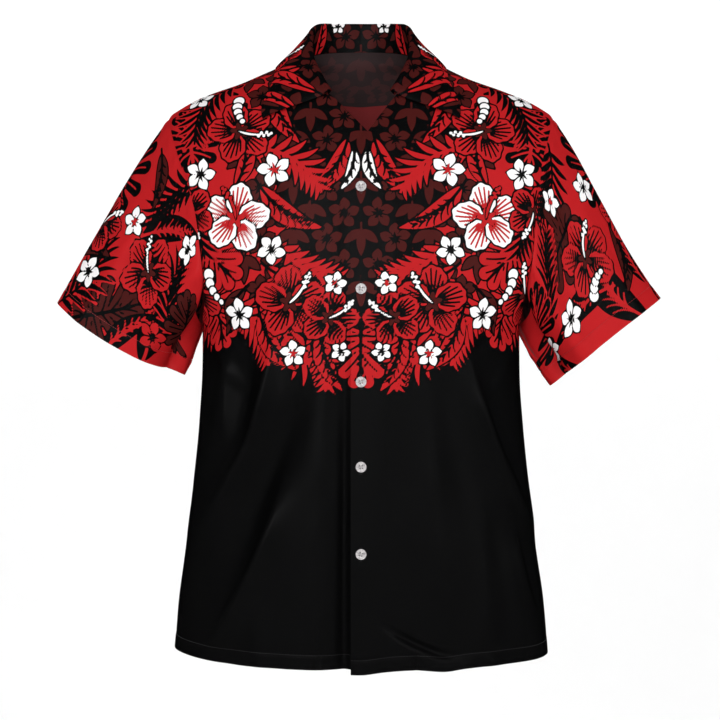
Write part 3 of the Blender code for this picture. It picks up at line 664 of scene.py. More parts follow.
def cloth_object(name, points, cloth, thick, outside, inside, wall=TURNED_THICK):
    """Cloth on a grid of points. thick is the share of the wall at each point, less than 1 for a single layer.

    The outer face has every point of the grid, and the inner face every second one, apart from the edges.
    """
    rows, columns = points.shape[:2]
    out = outward_of(points)
    half = out * (wall / 2 * np.broadcast_to(thick, (rows, columns)))[..., None]
    outer = np.arange(rows * columns).reshape(rows, columns)
    kept = np.zeros((rows, columns), bool)
    kept[::2, ::2] = True
    kept[[0, -1], :] = kept[:, [0, -1]] = True
    inner = np.where(kept, np.cumsum(kept).reshape(rows, columns) - 1 + rows * columns, -1)
    faces = np.stack([outer[:-1, :-1], outer[:-1, 1:], outer[1:, 1:], outer[1:, :-1]], axis=-1).reshape(-1, 4).tolist()
    for r in range(0, rows - 2, 2):
        for c in range(0, columns - 2, 2):
            cell = inner[r:r + 3, c:c + 3]
            round_cell = (*cell[1:, 0], *cell[2, 1:], cell[1, 2], *cell[0, ::-1])
            faces.append([int(at) for at in round_cell if at >= 0])
    edge = [(0, c) for c in range(columns)] + [(r, columns - 1) for r in range(1, rows)]
    edge += [(rows - 1, c) for c in range(columns - 2, -1, -1)] + [(r, 0) for r in range(rows - 2, 0, -1)]
    for near, far in zip(edge, edge[1:] + edge[:1]):
        faces.append([int(outer[far]), int(outer[near]), int(inner[near]), int(inner[far])])
    if np.cross(points[0, 1] - points[0, 0], points[1, 0] - points[0, 0]) @ out[0, 0] < 0:
        faces = [face[::-1] for face in faces]
    mesh = bpy.data.meshes.new(name)
    mesh.from_pydata(np.concatenate([(points + half).reshape(-1, 3), (points - half)[kept]]).tolist(), [], faces)
    mesh.shade_smooth()
    mesh.set_sharp_from_angle(angle=math.radians(60))
    place = np.stack([cloth.across, cloth.along, 0 * cloth.along], axis=1)
    for attribute, values in (("print", cloth.field()), ("cloth", place)):
        made = mesh.attributes.new(attribute, "FLOAT_VECTOR", "POINT")
        made.data.foreach_set("vector", np.concatenate([values, values[kept.ravel()]]).astype(np.float32).ravel())
    mesh.materials.append(outside)
    mesh.materials.append(inside)
    side = np.zeros(len(faces), np.int32)
    side[(rows - 1) * (columns - 1):-len(edge)] = 1
    mesh.polygons.foreach_set("material_index", side)
    return add_object(name, mesh)


def flat_coordinates(points, upright_from):
    """The cloth's own coordinates: x round the body from the centre line, and height measured on the cloth."""
    x, y, z = points[..., 0], points[..., 1], points[..., 2]
    sections = np.linspace(SECTIONS[0].height - 0.03, SECTIONS[-1].height, 220)
    behind = y.mean() > 0
    runs = RUN_AT(sections)
    turns = np.radians(np.linspace(0, 90, 361))
    turns = math.pi - turns if behind else turns
    rings = body_point(turns[None, :], runs[:, None])
    ring_x, ring_length = rings[..., 0], lengths(rings, 1)
    row = np.interp(z, sections, np.arange(len(sections)))
    low = np.clip(row.astype(int), 0, len(sections) - 2)
    across = np.zeros_like(x)
    for level in np.unique(low):
        here = low == level
        near = np.interp(np.abs(x[here]), ring_x[level], ring_length[level])
        far = np.interp(np.abs(x[here]), ring_x[level + 1], ring_length[level + 1])
        across[here] = near + (far - near) * (row[here] - level)
    # Above the chest the cloth leans back to the shoulders, so it is longer than it is high.
    columns = np.linspace(0, 0.24, 60)
    depth = np.abs(np.stack([
        np.where(
            columns < WIDTH_AT(run) * 0.999,
            (BACK_AT(run) if behind else FRONT_AT(run))
            * (1 - np.minimum(columns / WIDTH_AT(run), 0.999) ** SQUARE_AT(run)) ** (1 / SQUARE_AT(run)),
            0.0,
        )
        for run in runs
    ]))
    steps = np.hypot(np.diff(sections)[:, None], np.diff(depth, axis=0) * (sections[1:, None] > upright_from))
    climb = np.concatenate([np.zeros((1, len(columns))), np.cumsum(steps, axis=0)]) + sections[0]
    climb -= (climb - sections[:, None])[np.searchsorted(sections, upright_from)][None, :]
    column = np.clip(np.interp(np.abs(x), columns, np.arange(len(columns))), 0, len(columns) - 1.001)
    left = column.astype(int)
    share_across, share_up = column - left, row - low
    along = sum(
        climb[low + i, left + j] * (share_up if i else 1 - share_up) * (share_across if j else 1 - share_across)
        for i in (0, 1)
        for j in (0, 1)
    )
    return across * np.sign(x), along


Corner = namedtuple("Corner", "across along")
FRONT_GROUND = table(Corner, (104, 90), (112, -30), (120, -80), (112, -130), (100, -185), (76, -240), (52, -286),
    (56, -330), (70, -352), (100, -356), (150, -335), (200, -318), (300, -305), (320, 90))
# Tone on tone round the neck and down the middle, leaves that spread from under the neck and along the borders,
# then black and maroon leaves over the red, and blossoms and berries over all.
FRONT_PRINT = [
    *half_drop(11, 4, 0.014),
    *motifs(fern_frond, "red", "black", (215, -268, 256, 86), (168, -300, 232, 98, -1)),
    *motifs(split_leaf, "red", "black", (186, -318, 255, 64)),
    *motifs(fern_frond, "red", "black", (96, -326, 224, 92)),
    *motifs(long_leaf, "red", "black", (16, -108, 304, 84, -1), (122, -316, 236, 82), (84, -334, 228, 80, -1)),
    *motifs(long_leaf, "white", "black", (8, -122, 288, 52, -1)),
    *motifs(fern_frond, "red", "black", (62, -330, 255, 80, -1)),
    *motifs(long_leaf, "red", "black", (52, -316, 240, 70), (46, -334, 252, 78), (238, -285, 274, 80, -1),
        (106, -30, 248, 90)),
    *motifs(split_leaf, "red", "black", (0, -358, 270, 70)),
    *motifs(fern_frond, "red", "black", (124, -118, 216, 96, -1)),
    *motifs(long_leaf, "red", "black", (120, -166, 214, 92)),
    *motifs(fern_frond, "red", "black", (98, -234, 208, 88)),
    *motifs(split_leaf, "black", "red", (176, 16, 250, 70)),
    *motifs(long_leaf, "black", "red", (230, 30, 222, 105)),
    *motifs(split_leaf, "black", "red", (212, -100, 80, 70)),
    *motifs(split_leaf, "red", "black", (184, -246, 225, 74)),
    *motifs(fern_frond, "black", "red", (156, -12, 296, 110), (262, -160, 232, 115, -1)),
    *motifs(long_leaf, "red", "black", (150, -165, 100, 70)),
    *motifs(long_leaf, "maroon", "black", (236, -240, 280, 80), (140, -288, 300, 62)),
    *motifs(long_leaf, "red", "black", (112, -262, 196, 66)),
    *motifs(hibiscus, "white", "red", (150, -204, 20, 41)),
    *motifs(hibiscus, "red", "black", (84, -304, 80, 42), (146, -96, 140, 40), (212, -292, 60, 37),
        (212, -196, 200, 34), (37, -322, 100, 34)),
    *motifs(plumeria, "white", "black", (196, -150, 30, 20), (150, -318, 15, 20), (205, -40, 15, 20),
        (106, -242, 50, 18), (24, -362, 40, 12)),
    *motifs(plumeria, "white", "red", (103, -146, 0, 21), (30, -282, 30, 14), (80, -364, 10, 16)),
    *motifs(berries, "white", "black", (146, -46, 262, 40), (186, -262, 250, 46)),
]
UPRIGHT_FROM = -0.22  # above this height the cloth leans back


def body_print(form, patch, layout):
    """The print on a panel of the body, alike on both of its halves."""
    cloth = Print(*flat_coordinates(form, UPRIGHT_FROM))
    for half in (1, -1):
        red_ground(cloth, [(half * corner.across, corner.along) for corner in patch])
    print_both_halves(cloth, layout)
    return cloth


FRONT_LONG, FRONT_WIDE = 0.80, 0.245
SEAM_FLAT = 0.012  # folds begin this far from a seam
FACING_ENDS = (0.040, 0.047)  # where the turned-back front edge thins to a single layer


def make_front(node, side, neckline, folds, drops):
    rows, columns = 2 * round(FRONT_LONG / 2 / CLOTH_STEP), 2 * round(FRONT_WIDE / 2 / CLOTH_STEP)
    up, share = np.linspace(0, 1, rows + 1)[:, None], np.linspace(0, 1, columns + 1)[None, :]
    (inner_angle, inner_run), (outer_angle, outer_run) = front_edge(up, neckline), side_edge(up, side, False)
    angle = inner_angle + (outer_angle - inner_angle) * share
    run = inner_run + (outer_run - inner_run) * share + hem_lift(angle, up, side)
    form = body_point(side * angle, run)
    x, z = form[..., 0], form[..., 2]
    from_edge, from_side, from_hem, from_top = edge_distances(form)
    lift = fold_height(folds + FRONT_CREASES, x, z) + slack(x, z, 3 + side)
    lift *= smoothstep(from_side, 0.0, SEAM_FLAT)
    lift += side * LAP_STEP * (1 - smoothstep(np.abs(x), LAP_HALF, LAP_FADE))
    lift += sewn_in(from_side) + sewn_in(from_top) * smoothstep(up, 0.97, 0.99) + turned_hem(x, from_hem)
    points = form + body_normal(side * angle, run) * lift[..., None]
    for d in drops:
        points[..., 2] -= d.drop * bell(points[..., 0], d.width, d.x) * np.maximum(0.0, 1 - up / HEM_RISE_SHARE)
    thinned = (1.0 - CLOTH_THICK / TURNED_THICK) * smoothstep(from_edge, *FACING_ENDS)
    thick = np.where(from_hem < HEM_DEEP, 1.0, 1.0 - thinned)
    cloth = body_print(form, FRONT_GROUND, FRONT_PRINT)
    made = cloth_object(node + "_satin", points, cloth, thick, SATIN, SATIN_INSIDE)
    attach(made, "root")
    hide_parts(node)
    return points


SATIN = satin("printed_satin", 0.0, 0.0085, Roughness=0.44, Specular_IOR_Level=0.0)
SATIN_INSIDE = satin("printed_satin_inside", 0.55, 0.006, Roughness=0.72, Specular_IOR_Level=0.0)
LEFT_FRONT = make_front("front_left", 1, NECKLINE_LEFT, FRONT_FOLDS, LEFT_HEM_DROPS)
RIGHT_FRONT = make_front("front_right", -1, NECKLINE_RIGHT, FRONT_FOLDS + LAP_TROUGHS, ())


# ============================================================ the back
# One panel of the same satin, cut in one piece from the hem to the neck and shoulders, with no yoke. It hangs
# from the shoulders in a few long soft folds.
BACK_FOLDS = table(Fold, (112, -320, 172, -590, -12, 19, 8.5), (-106, -340, -178, -640, 12, 19, 9.5),
    (34, -440, 64, -760, 6, 24, -8.5), (-48, -410, -78, -760, -6, 24, -9.5), (-6, -500, -12, -800, 3, 20, 6.5),
    (128, -470, 160, -760, 4, 20, -7))
BACK_CREASES = table(Fold, (176, -290, 106, -360, 6, 8, -2.4), (182, -322, 128, -420, 8, 7, 2.2),
    (-178, -295, -112, -372, -6, 8, -2.4), (-184, -325, -130, -430, -8, 7, 2.2), (90, -120, 104, -300, 8, 18, 2.6),
    (-94, -130, -108, -320, -8, 18, 2.6), (-150, -120, -160, -240, 4, 12, -2), (148, -110, 160, -250, -4, 12, -2),
    (96, -560, 108, -750, 3, 12, 3), (-128, -600, -136, -770, -3, 12, 2.8))
BACK_NECK_SHARE = 6 / 13  # share of half the top edge that is neckline
BACK_PULL = 1.5
BACK_STEP = 0.0020
BACK_WIDE = 0.50
BACK_GROUND = table(Corner, (0, -46), (36, -43), (76, -36), (100, -15), (106, 100), (320, 100), (320, -300),
    (230, -310), (170, -330), (120, -350), (75, -345), (30, -310), (0, -295))
# Tone on tone round the neck, then the lower border, black and maroon leaves over the red, and blossoms.
BACK_PRINT = [
    *half_drop(2, 4, 0.01),
    *motifs(fern_frond, "red", "black", (60, -270, 252, 130), (130, -300, 262, 115, -1), (185, -280, 250, 115)),
    *motifs(long_leaf, "red", "black", (98, -300, 280, 110), (30, -285, 275, 110)),
    *motifs(fern_frond, "black", "red", (118, 10, 292, 120), (0, -110, 305, 105, -1)),
    *motifs(split_leaf, "red", "black", (160, -345, 262, 70)),
    *motifs(long_leaf, "red", "black", (232, -295, 272, 90, -1)),
    *motifs(split_leaf, "black", "red", (175, -80, 60, 80)),
    *motifs(fern_frond, "black", "red", (245, -140, 215, 130, -1)),
    *motifs(split_leaf, "black", "red", (70, -245, 236, 86), (210, -250, 270, 76)),
    *motifs(long_leaf, "black", "red", (165, -5, 340, 85)),
    *motifs(long_leaf, "maroon", "black", (115, -170, 250, 90), (245, -60, 262, 90)),
    *motifs(long_leaf, "black", "red", (12, -195, 290, 78), (60, -100, 340, 60), (30, -62, 335, 75)),
    *motifs(split_leaf, "red", "black", (0, -318, 270, 70)),
    *motifs(hibiscus, "red", "black", (48, -88, 40, 30), (140, -262, 60, 44)),
    *motifs(hibiscus, "white", "red", (94, -138, 15, 43), (37, -262, 60, 35)),
    *motifs(hibiscus, "red", "black", (190, -175, 150, 40), (36, -180, 300, 32)),
    *motifs(plumeria, "white", "black", (62, -196, 0, 20), (205, -315, 15, 20), (140, -70, 50, 20),
        (0, -128, 90, 20)),
    *motifs(plumeria, "white", "red", (236, -115, 30, 20), (85, -325, 30, 18)),
    *motifs(berries, "white", "black", (90, -196, 290, 44)),
]


def make_back():
    # The rows lie closest at the stitched hem and over the print.
    up = np.concatenate([
        np.linspace(0, 0.032, 12, endpoint=False),
        np.linspace(0.032, 0.44, 68, endpoint=False),
        np.linspace(0.44, 1, 211),
    ])[:, None]
    share = np.linspace(-1, 1, 2 * round(BACK_WIDE / 2 / BACK_STEP) + 1)[None, :]
    half, side = np.abs(share), np.where(share >= 0, 1, -1)
    underarm, top, shoulder = (RUN_AT(z) for z in (UNDERARM, BACK_NECK, SHOULDER_POINT))
    above = np.clip((up - SIDE_SHARE) / (1 - SIDE_SHARE), 0.0, 1.0)
    middle = np.where(above > 0, underarm + (top - underarm) * above, underarm * up / SIDE_SHARE)
    outer_angle, outer_run = side_edge(up, 1, True)
    turn = np.clip((half - BACK_NECK_SHARE) / (1 - BACK_NECK_SHARE), 0.0, 1.0)
    on_neck = half < BACK_NECK_SHARE
    top_angle = math.pi - math.pi / 2 * np.minimum(half / BACK_NECK_SHARE, 1.0)
    neck_run = RUN_AT(NECK_POINT + (BACK_NECK - NECK_POINT) * np.maximum(-np.cos(top_angle), 0.0) ** 0.8)
    top_run = np.where(on_neck, neck_run, RUN_AT(NECK_POINT) + (shoulder - RUN_AT(NECK_POINT)) * turn)
    angle = math.pi + (outer_angle - math.pi) * half + above**BACK_PULL * (top_angle - math.pi + math.pi / 2 * half)
    run = middle + (outer_run - middle) * half + above**BACK_PULL * (top_run - top - (shoulder - top) * half)
    run = run + np.where(side > 0, hem_lift(angle, up, 1), hem_lift(angle, up, -1))
    form = body_point(side * angle, run)
    x, z = form[..., 0], form[..., 2]
    from_right, from_left, from_hem, from_top = edge_distances(form)
    from_side = np.minimum(from_left, from_right)
    lift = fold_height(BACK_FOLDS + BACK_CREASES, x, z) + slack(x, z, 9)
    lift *= smoothstep(from_side, 0.0, SEAM_FLAT)
    lift += sewn_in(from_side) + sewn_in(from_top) + turned_hem(x, from_hem)
    points = form + body_normal(side * angle, run) * lift[..., None]
    cloth = body_print(form, BACK_GROUND, BACK_PRINT)
    thick = np.where(from_hem < HEM_DEEP, 1.0, CLOTH_THICK / TURNED_THICK)
    made = cloth_object("back_satin", points, cloth, thick, SATIN, SATIN_INSIDE)
    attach(made, "root")
    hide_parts("back")
    return points


BACK = make_back()


# ============================================================ the sleeves
# Short set-in sleeves, each one panel sewn into a tube, set into the armhole and turned under at its cuff.
# They are cut from the part of the print that has a red ground.
Cuff = namedtuple("Cuff", "outer_x outer_z inner_x inner_z half_depth belly start_x start_z")
CUFFS = {
    "left": Cuff(0.3685, -0.2955, 0.2335, -0.4030, 0.047, -0.003, 0.10, -1.0),
    "right": Cuff(0.3735, -0.3010, 0.2170, -0.3900, 0.047, 0.010, 0.30, -1.0),
}
CUFF_DEEP = 0.020  # depth of the turned cuff
CAP_DROP = 0.9
CAP_REACH = 0.75
SLEEVE_MIDDLE = np.array((0.207, 0.0, -0.190))
SleeveFold = namedtuple("SleeveFold", "around drift start end spread depth")
SLEEVE_FOLDS = table(SleeveFold, (0.085, -0.004, -0.2, 1.4, 0.046, -24), (0.182, 0.004, -0.1, 1.4, 0.028, 10),
    (0.87, 0.02, 0.05, 1.3, 0.045, -11), (0.78, -0.01, 0.25, 1.35, 0.035, 5.5), (0.66, 0.02, 0.45, 1.4, 0.04, -5))
SLEEVE_CREASES = {
    "left": table(SleeveFold, (0.3, 0.03, 0.1, 0.75, 0.014, -2.2), (0.365, -0.02, 0.3, 1.25, 0.02, 3),
        (0.43, 0.02, 0.15, 0.8, 0.016, -1.8), (0.16, 0.04, -0.2, 0.45, 0.012, 2.4),
        (0.59, -0.03, 0.1, 0.9, 0.018, 2.4), (0.7, 0.02, 0.05, 0.6, 0.012, -2)),
    "right": table(SleeveFold, (0.28, 0.06, 0.05, 0.7, 0.014, -2.6), (0.33, 0.02, 0.25, 1.3, 0.018, 3.4),
        (0.41, -0.02, 0.2, 0.95, 0.016, -2.2), (0.15, 0.05, -0.2, 0.4, 0.012, 2.6),
        (0.6, 0.03, 0.1, 0.9, 0.018, 2.4), (0.72, -0.02, 0.05, 0.6, 0.012, -2)),
}
SLEEVE_PRINT = [
    *motifs(split_leaf, "black", "red", (0, 190, 90, 88)),
    *motifs(fern_frond, "black", "red", (-60, 235, 215, 120), (150, 232, 236, 110, -1)),
    *motifs(long_leaf, "maroon", "black", (50, 226, 300, 70)),
    *motifs(long_leaf, "black", "red", (-52, -10, 96, 150), (150, 0, 112, 130, -1)),
    *motifs(split_leaf, "maroon", "black", (-126, 126, 205, 84)),
    *motifs(long_leaf, "black", "red", (85, 130, 20, 110)),
    *motifs(split_leaf, "maroon", "black", (85, 30, 40, 78)),
    *motifs(fern_frond, "black", "red", (-185, 40, 70, 120)),
    *motifs(long_leaf, "black", "red", (-75, 50, 190, 100, -1)),
    *motifs(fern_frond, "black", "red", (12, 0, 78, 115, -1)),
    *motifs(long_leaf, "maroon", "black", (-20, 60, 20, 80)),
    *motifs(fern_frond, "black", "red", (190, 30, 96, 120)),
    *motifs(long_leaf, "black", "red", (-150, -14, 126, 85), (104, -14, 58, 85)),
    *motifs(long_leaf, "maroon", "black", (-18, 112, 246, 88)),
    *motifs(long_leaf, "black", "red", (-14, 26, 84, 70), (-12, -10, 60, 50)),
    *motifs(split_leaf, "maroon", "black", (205, 64, 80, 66)),
    *motifs(split_leaf, "black", "red", (-212, 70, 100, 70)),
    *motifs(plumeria, "red", "black", (152, 34, 10, 19)),
    *motifs(hibiscus, "red", "black", (-85, 96, 10, 44), (118, 100, 70, 42), (12, 115, 0, 36)),
    *motifs(plumeria, "white", "red", (-186, 30, 10, 17), (66, 140, 40, 19), (-110, 176, 40, 18)),
    *motifs(plumeria, "white", "black", (-36, 166, 0, 20), (34, 56, 20, 20), (-140, 50, 0, 20), (175, 150, 0, 20)),
    *motifs(berries, "white", "black", (-98, 46, 40, 40)),
]
SLEEVE_ROWS, SLEEVE_COLUMNS = 120, 272
X_AXIS, Y_AXIS, Z_AXIS = np.eye(3)


def dots(a, b):
    return np.sum(a * b, axis=-1, keepdims=True)


def make_sleeve(name, side, seed):
    cuff = CUFFS[name]
    t = np.linspace(0, 1, SLEEVE_ROWS + 1)[:, None, None]
    around = np.linspace(0, 1, SLEEVE_COLUMNS + 1)[None, :]
    outer, inner = np.array((cuff.outer_x, 0.0, cuff.outer_z)), np.array((cuff.inner_x, 0.0, cuff.inner_z))
    centre, half = (outer + inner) / 2, (outer - inner) / 2
    axis = unit(np.array((abs(half[2]), 0.0, -abs(half[0]))))
    underarm_start = unit(np.array((cuff.start_x, 0.0, cuff.start_z)))
    angle, run = armhole_at(around, side)
    before, after = (body_point(*armhole_at((around + d) % 1.0, side)) for d in (-0.004, 0.004))
    out = body_normal(angle, run)
    onward = unit(np.cross(out, after - before))
    at_underarm = ((around < 1e-6) | (around > 1 - 1e-6))[..., None]
    out = np.where(at_underarm, X_AXIS, out)
    onward = np.where(at_underarm, Z_AXIS, onward)
    onward = np.where(dots(onward, X_AXIS + Z_AXIS / 2) < 0, -onward, onward)
    sewn = body_point(angle, run)
    phase = 2 * math.pi * around[..., None]
    cap = unit(onward + unit(centre - half * np.cos(phase) - sewn) * CAP_DROP)
    rise = np.sin(phase / 2) ** 2
    start = unit(underarm_start + (cap - underarm_start) * rise)
    ahead, aside = dots(start, onward), dots(start, out)
    size = np.hypot(ahead, aside)
    sewn = sewn + onward * 0.0003 + out * 0.0007 * smoothstep(-ahead / size, 0.0, 0.6) - out * SEAM_SINK * 0.6
    end = centre - half * np.cos(phase) - Y_AXIS * cuff.half_depth * np.sin(phase)
    end = end + axis * cuff.belly * np.sin(phase) ** 2
    length = np.linalg.norm(end - sewn, axis=-1, keepdims=True)
    form = (
        sewn * (1 + 2 * t) * (1 - t) ** 2
        + start * length * CAP_REACH * t * (1 - t) ** 2
        + end * t * t * (3 - 2 * t)
        + axis * length * t * t * (t - 1)
    )
    outward = form - (SLEEVE_MIDDLE + (centre - SLEEVE_MIDDLE) * t)
    # The folds lift the tube along its own normal, which is carried on across the underarm seam.
    ring = np.concatenate([form[:, -2:-1], form, form[:, 1:2]], axis=1)
    normal = unit(np.cross(ring[:, 2:] - ring[:, :-2], np.gradient(form, axis=0)))
    outward = normal if np.sum(normal * outward) > 0 else -normal
    from_start, from_end, from_cap, from_cuff = edge_distances(form)
    t = t[..., 0]
    lift = np.zeros(form.shape[:2])
    for f in SLEEVE_FOLDS + SLEEVE_CREASES[name]:
        share = np.clip((t - f.start) / (f.end - f.start), 0, 1)
        lift += f.depth * bell(around, f.spread, f.around + f.drift * share) * np.sin(math.pi * share)
    across = lengths(form, 1)
    across = across - across[:, [SLEEVE_COLUMNS // 2]]
    lift += slack(across, from_cuff, seed) * smoothstep(from_cap, 0.0, 0.02)
    lift += 0.6 * sewn_in(from_cap) + sewn_in(np.minimum(from_start, from_end), 0.0008)
    # A little ease is left in the head of the sleeve, which puckers beside the seam.
    lift += 0.0006 * ripple(across, 0.0031, 0.017, 2.2) * bell(from_cap, 0.006, 0.007) * rise[..., 0]
    lift += 0.00045 * ripple(across, 0.0058, 0.019) * bell(from_cuff, 0.022)
    lift -= 0.00045 * bell(from_cuff, 0.0022, CUFF_DEEP)
    points = form + outward * lift[..., None]
    points[..., 0] *= side
    cloth = Print(across, from_cuff)
    cloth.lay("red", slice(None), np.full(cloth.across.size, INK_REACH))
    for motif in SLEEVE_PRINT:
        motif.draw(cloth, mirrored(motif) if side < 0 else motif)
    thick = np.where(from_cuff < CUFF_DEEP, 1.0, CLOTH_THICK / TURNED_THICK)
    made = cloth_object(f"sleeve_{name}_satin", points, cloth, thick, SATIN, SATIN_INSIDE)
    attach(made, "root")
    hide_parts(f"sleeve_{name}")
    return points


LEFT_SLEEVE = make_sleeve("left", 1, 21)
RIGHT_SLEEVE = make_sleeve("right", -1, 34)


# ============================================================ the collar
# A one-piece camp collar: it stands up from the neckline, rolls over, and lies open on the fronts. It is two
# layers of printed satin with an interfacing between them, turned right side out and pressed.
Station = namedtuple("Station", "seam_angle seam_z roll_x roll_y roll_z edge_angle edge_z")
COLLAR = table(Station, (180, 17, 0, 64, 53.5, 180, -10), (150, 15.2, 31, 58, 52.5, 152, -10),
    (120, 9.8, 52, 35, 48.5, 123, -10.5), (90, 0, 62, 4, 32, 92, -10.5), (47, -8, 60.5, -27, 6, 60, -20),
    (22, -30, 52, -61, -21.5, 34.5, -49), (11, -56, 36.5, -81.5, -50, 28.4, -85.5))
COLLAR_THICK = 0.0014
COLLAR_LONG, COLLAR_STEP = 0.46, 0.0015
STAND_SHARE = 0.25
LEAF_START = 0.5
ROLL_RADIUS = 0.0024
LEAF_REST = 0.0032
LEAF_OUT, LEAF_FALL, LEAF_FLAT, LEAF_ARCH = 0.12, 0.22, 0.33, 0.10
COLLAR_PRINT = [
    *half_drop(5, 7, 0.112),
    *motifs(long_leaf, "red", "black", (72, -6, 104, 62), (176, 30, 58, 80), (222, 28, 122, 90)),
    *motifs(plumeria, "white", "black", (30, 34, 90, 10)),
    *motifs(hibiscus, "red", "black", (140, 64, 200, 30)),
    *motifs(long_leaf, "red", "black", (112, 40, 52, 86)),
    *motifs(fern_frond, "red", "black", (206, 112, 150, 70)),
    *motifs(plumeria, "white", "red", (102, 80, 20, 12)),
    *motifs(long_leaf, "red", "black", (246, 60, 128, 62)),
]


def make_collar():
    columns = 2 * round(COLLAR_LONG / 2 / COLLAR_STEP)
    share = np.linspace(-1, 1, columns + 1)[None, :]
    side = np.where(share >= 0, 1.0, -1.0)
    order = np.arange(len(COLLAR))
    row = {c: smooth_line(order, [getattr(s, c) for s in COLLAR])(np.abs(share) * order[-1]) for c in Station._fields}
    up = np.concatenate([
        np.linspace(0, STAND_SHARE, 22, endpoint=False),
        np.linspace(STAND_SHARE, LEAF_START, 14, endpoint=False),
        np.linspace(LEAF_START, 1, 45),
    ])[:, None, None]
    angle, run = np.radians(row["seam_angle"]), RUN_AT(row["seam_z"])
    roll = np.stack([row["roll_x"], row["roll_y"], row["roll_z"]], axis=-1)
    edge_angle, edge_run = np.radians(row["edge_angle"]), RUN_AT(row["edge_z"])
    rest = body_normal(edge_angle, edge_run)
    edge = body_point(edge_angle, edge_run) + rest * LEAF_REST
    sewn = body_point(angle, run) + body_normal(angle, run) * 0.0012
    rise = unit(roll - sewn)
    away = edge - roll
    away = unit(away - rise * dots(away, rise))
    middle = roll - rise * ROLL_RADIUS
    stand_part = sewn + (middle - away * ROLL_RADIUS - sewn) * up / STAND_SHARE
    turn = math.pi * (up - STAND_SHARE) / (LEAF_START - STAND_SHARE)
    roll_part = middle - away * ROLL_RADIUS * np.cos(turn) + rise * ROLL_RADIUS * np.sin(turn)
    t = (up - LEAF_START) / (1 - LEAF_START)
    begin = middle + away * ROLL_RADIUS
    reach = np.linalg.norm(edge - begin, axis=-1, keepdims=True)
    first = begin + (away * LEAF_OUT - rise * LEAF_FALL) * reach
    last = edge + (begin - edge) * LEAF_FLAT + rest * LEAF_ARCH * reach
    leaf_part = begin * (1 - t) ** 3 + first * 3 * t * (1 - t) ** 2 + last * 3 * t * t * (1 - t) + edge * t**3
    form = np.where(up < STAND_SHARE, stand_part, np.where(up < LEAF_START, roll_part, leaf_part))
    form[..., 0] *= side
    from_right, from_left, from_seam, from_edge = edge_distances(form)
    across, along = lengths(form, 1), lengths(form, 0)
    across = across - across[:, [columns // 2]]
    # The leaf is pressed thin along its edge, and lies a little unevenly.
    normal = unit(np.cross(np.gradient(form, axis=1), np.gradient(form, axis=0)))
    wave = slack(across * 1.3, along, 5) * smoothstep(from_seam, 0.0, 0.02) * 0.8
    points = form + normal * wave[..., None]
    cloth = Print(across, along)
    print_both_halves(cloth, COLLAR_PRINT)
    to_edge = np.minimum(np.minimum(from_right, from_left), from_edge)
    thick = 0.72 + 0.28 * smoothstep(to_edge, 0.0015, 0.006)
    made = cloth_object("collar_satin", points, cloth, thick, SATIN, SATIN, wall=COLLAR_THICK)
    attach(made, "root")
    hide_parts("collar")


make_collar()


# ============================================================ the stitching
# Single-needle lockstitch, in black thread round the hem and in red round both cuffs. Each stitch is a short
# raised loop of thread that sinks into the cloth at both ends.
THREAD = 0.00042
STITCH = 0.0027
STITCH_GAP = 0.0007
THREAD_BLACK, _, _ = new_material("black_thread", Base_Color=(0.012, 0.011, 0.012, 1.0), Roughness=0.55)
THREAD_RED, _, _ = new_material("red_thread", Base_Color=(0.30, 0.012, 0.014, 1.0), Roughness=0.55)
STITCH_SHARES = np.array([0.0, 0.18, 0.5, 0.82, 1.0])
STITCH_RISE = np.array([-0.6, 0.35, 0.6, 0.35, -0.6]) * THREAD  # how far the thread stands off the cloth there
STITCH_RADIUS = np.array([0.55, 1.0, 1.0, 1.0, 0.55]) * THREAD / 2
STITCH_SIDES = 5


def along_line(points, at, distance):
    """The line on the grid that lies this far from its first row, for distances worked out as at."""
    columns = range(points.shape[1])
    return np.array([[np.interp(distance, at[:, c], points[:, c, k]) for k in range(3)] for c in columns])


def stitches(name, lines, finish):
    """One mesh of stitches that follow lines of (point, outward) pairs on the cloth."""
    turns = 2 * math.pi * np.arange(STITCH_SIDES) / STITCH_SIDES
    rings = []
    for line, outward in lines:
        steps = lengths(line, 0)
        begin = np.arange(int(steps[-1] / (STITCH + STITCH_GAP))) * (STITCH + STITCH_GAP)
        at = begin[:, None] + STITCH * STITCH_SHARES
        spine = np.stack([np.interp(at, steps, line[:, k]) for k in range(3)], axis=-1)
        out = unit(np.stack([np.interp(begin, steps, outward[:, k]) for k in range(3)], axis=-1))
        spine = spine + out[:, None] * STITCH_RISE[:, None]
        beside = np.cross(unit(spine[:, -1] - spine[:, 0]), out)
        ring = out[:, None] * np.cos(turns)[:, None] + beside[:, None] * np.sin(turns)[:, None]
        rings.append(spine[:, :, None] + ring[:, None] * STITCH_RADIUS[:, None, None])
    verts = np.concatenate(rings)
    order = np.arange(verts.size // 3).reshape(verts.shape[:3])
    onward = np.roll(order, -1, axis=2)
    faces = np.stack([order[:, :-1], onward[:, :-1], onward[:, 1:], order[:, 1:]], axis=-1)
    mesh = bpy.data.meshes.new(name)
    mesh.from_pydata(verts.reshape(-1, 3).tolist(), [], faces.reshape(-1, 4).tolist())
    mesh.shade_smooth()
    mesh.materials.append(finish)
    made = add_object(name, mesh)
    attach(made, "root")


def hem_line(points, deep, wall):
    """The line of stitches this far above a grid's first row, on the face of the cloth."""
    outward = outward_of(points)
    up = lengths(points, 0)
    line, out = along_line(points, up, deep), unit(along_line(outward, up, deep))
    return line + out * wall / 2, out


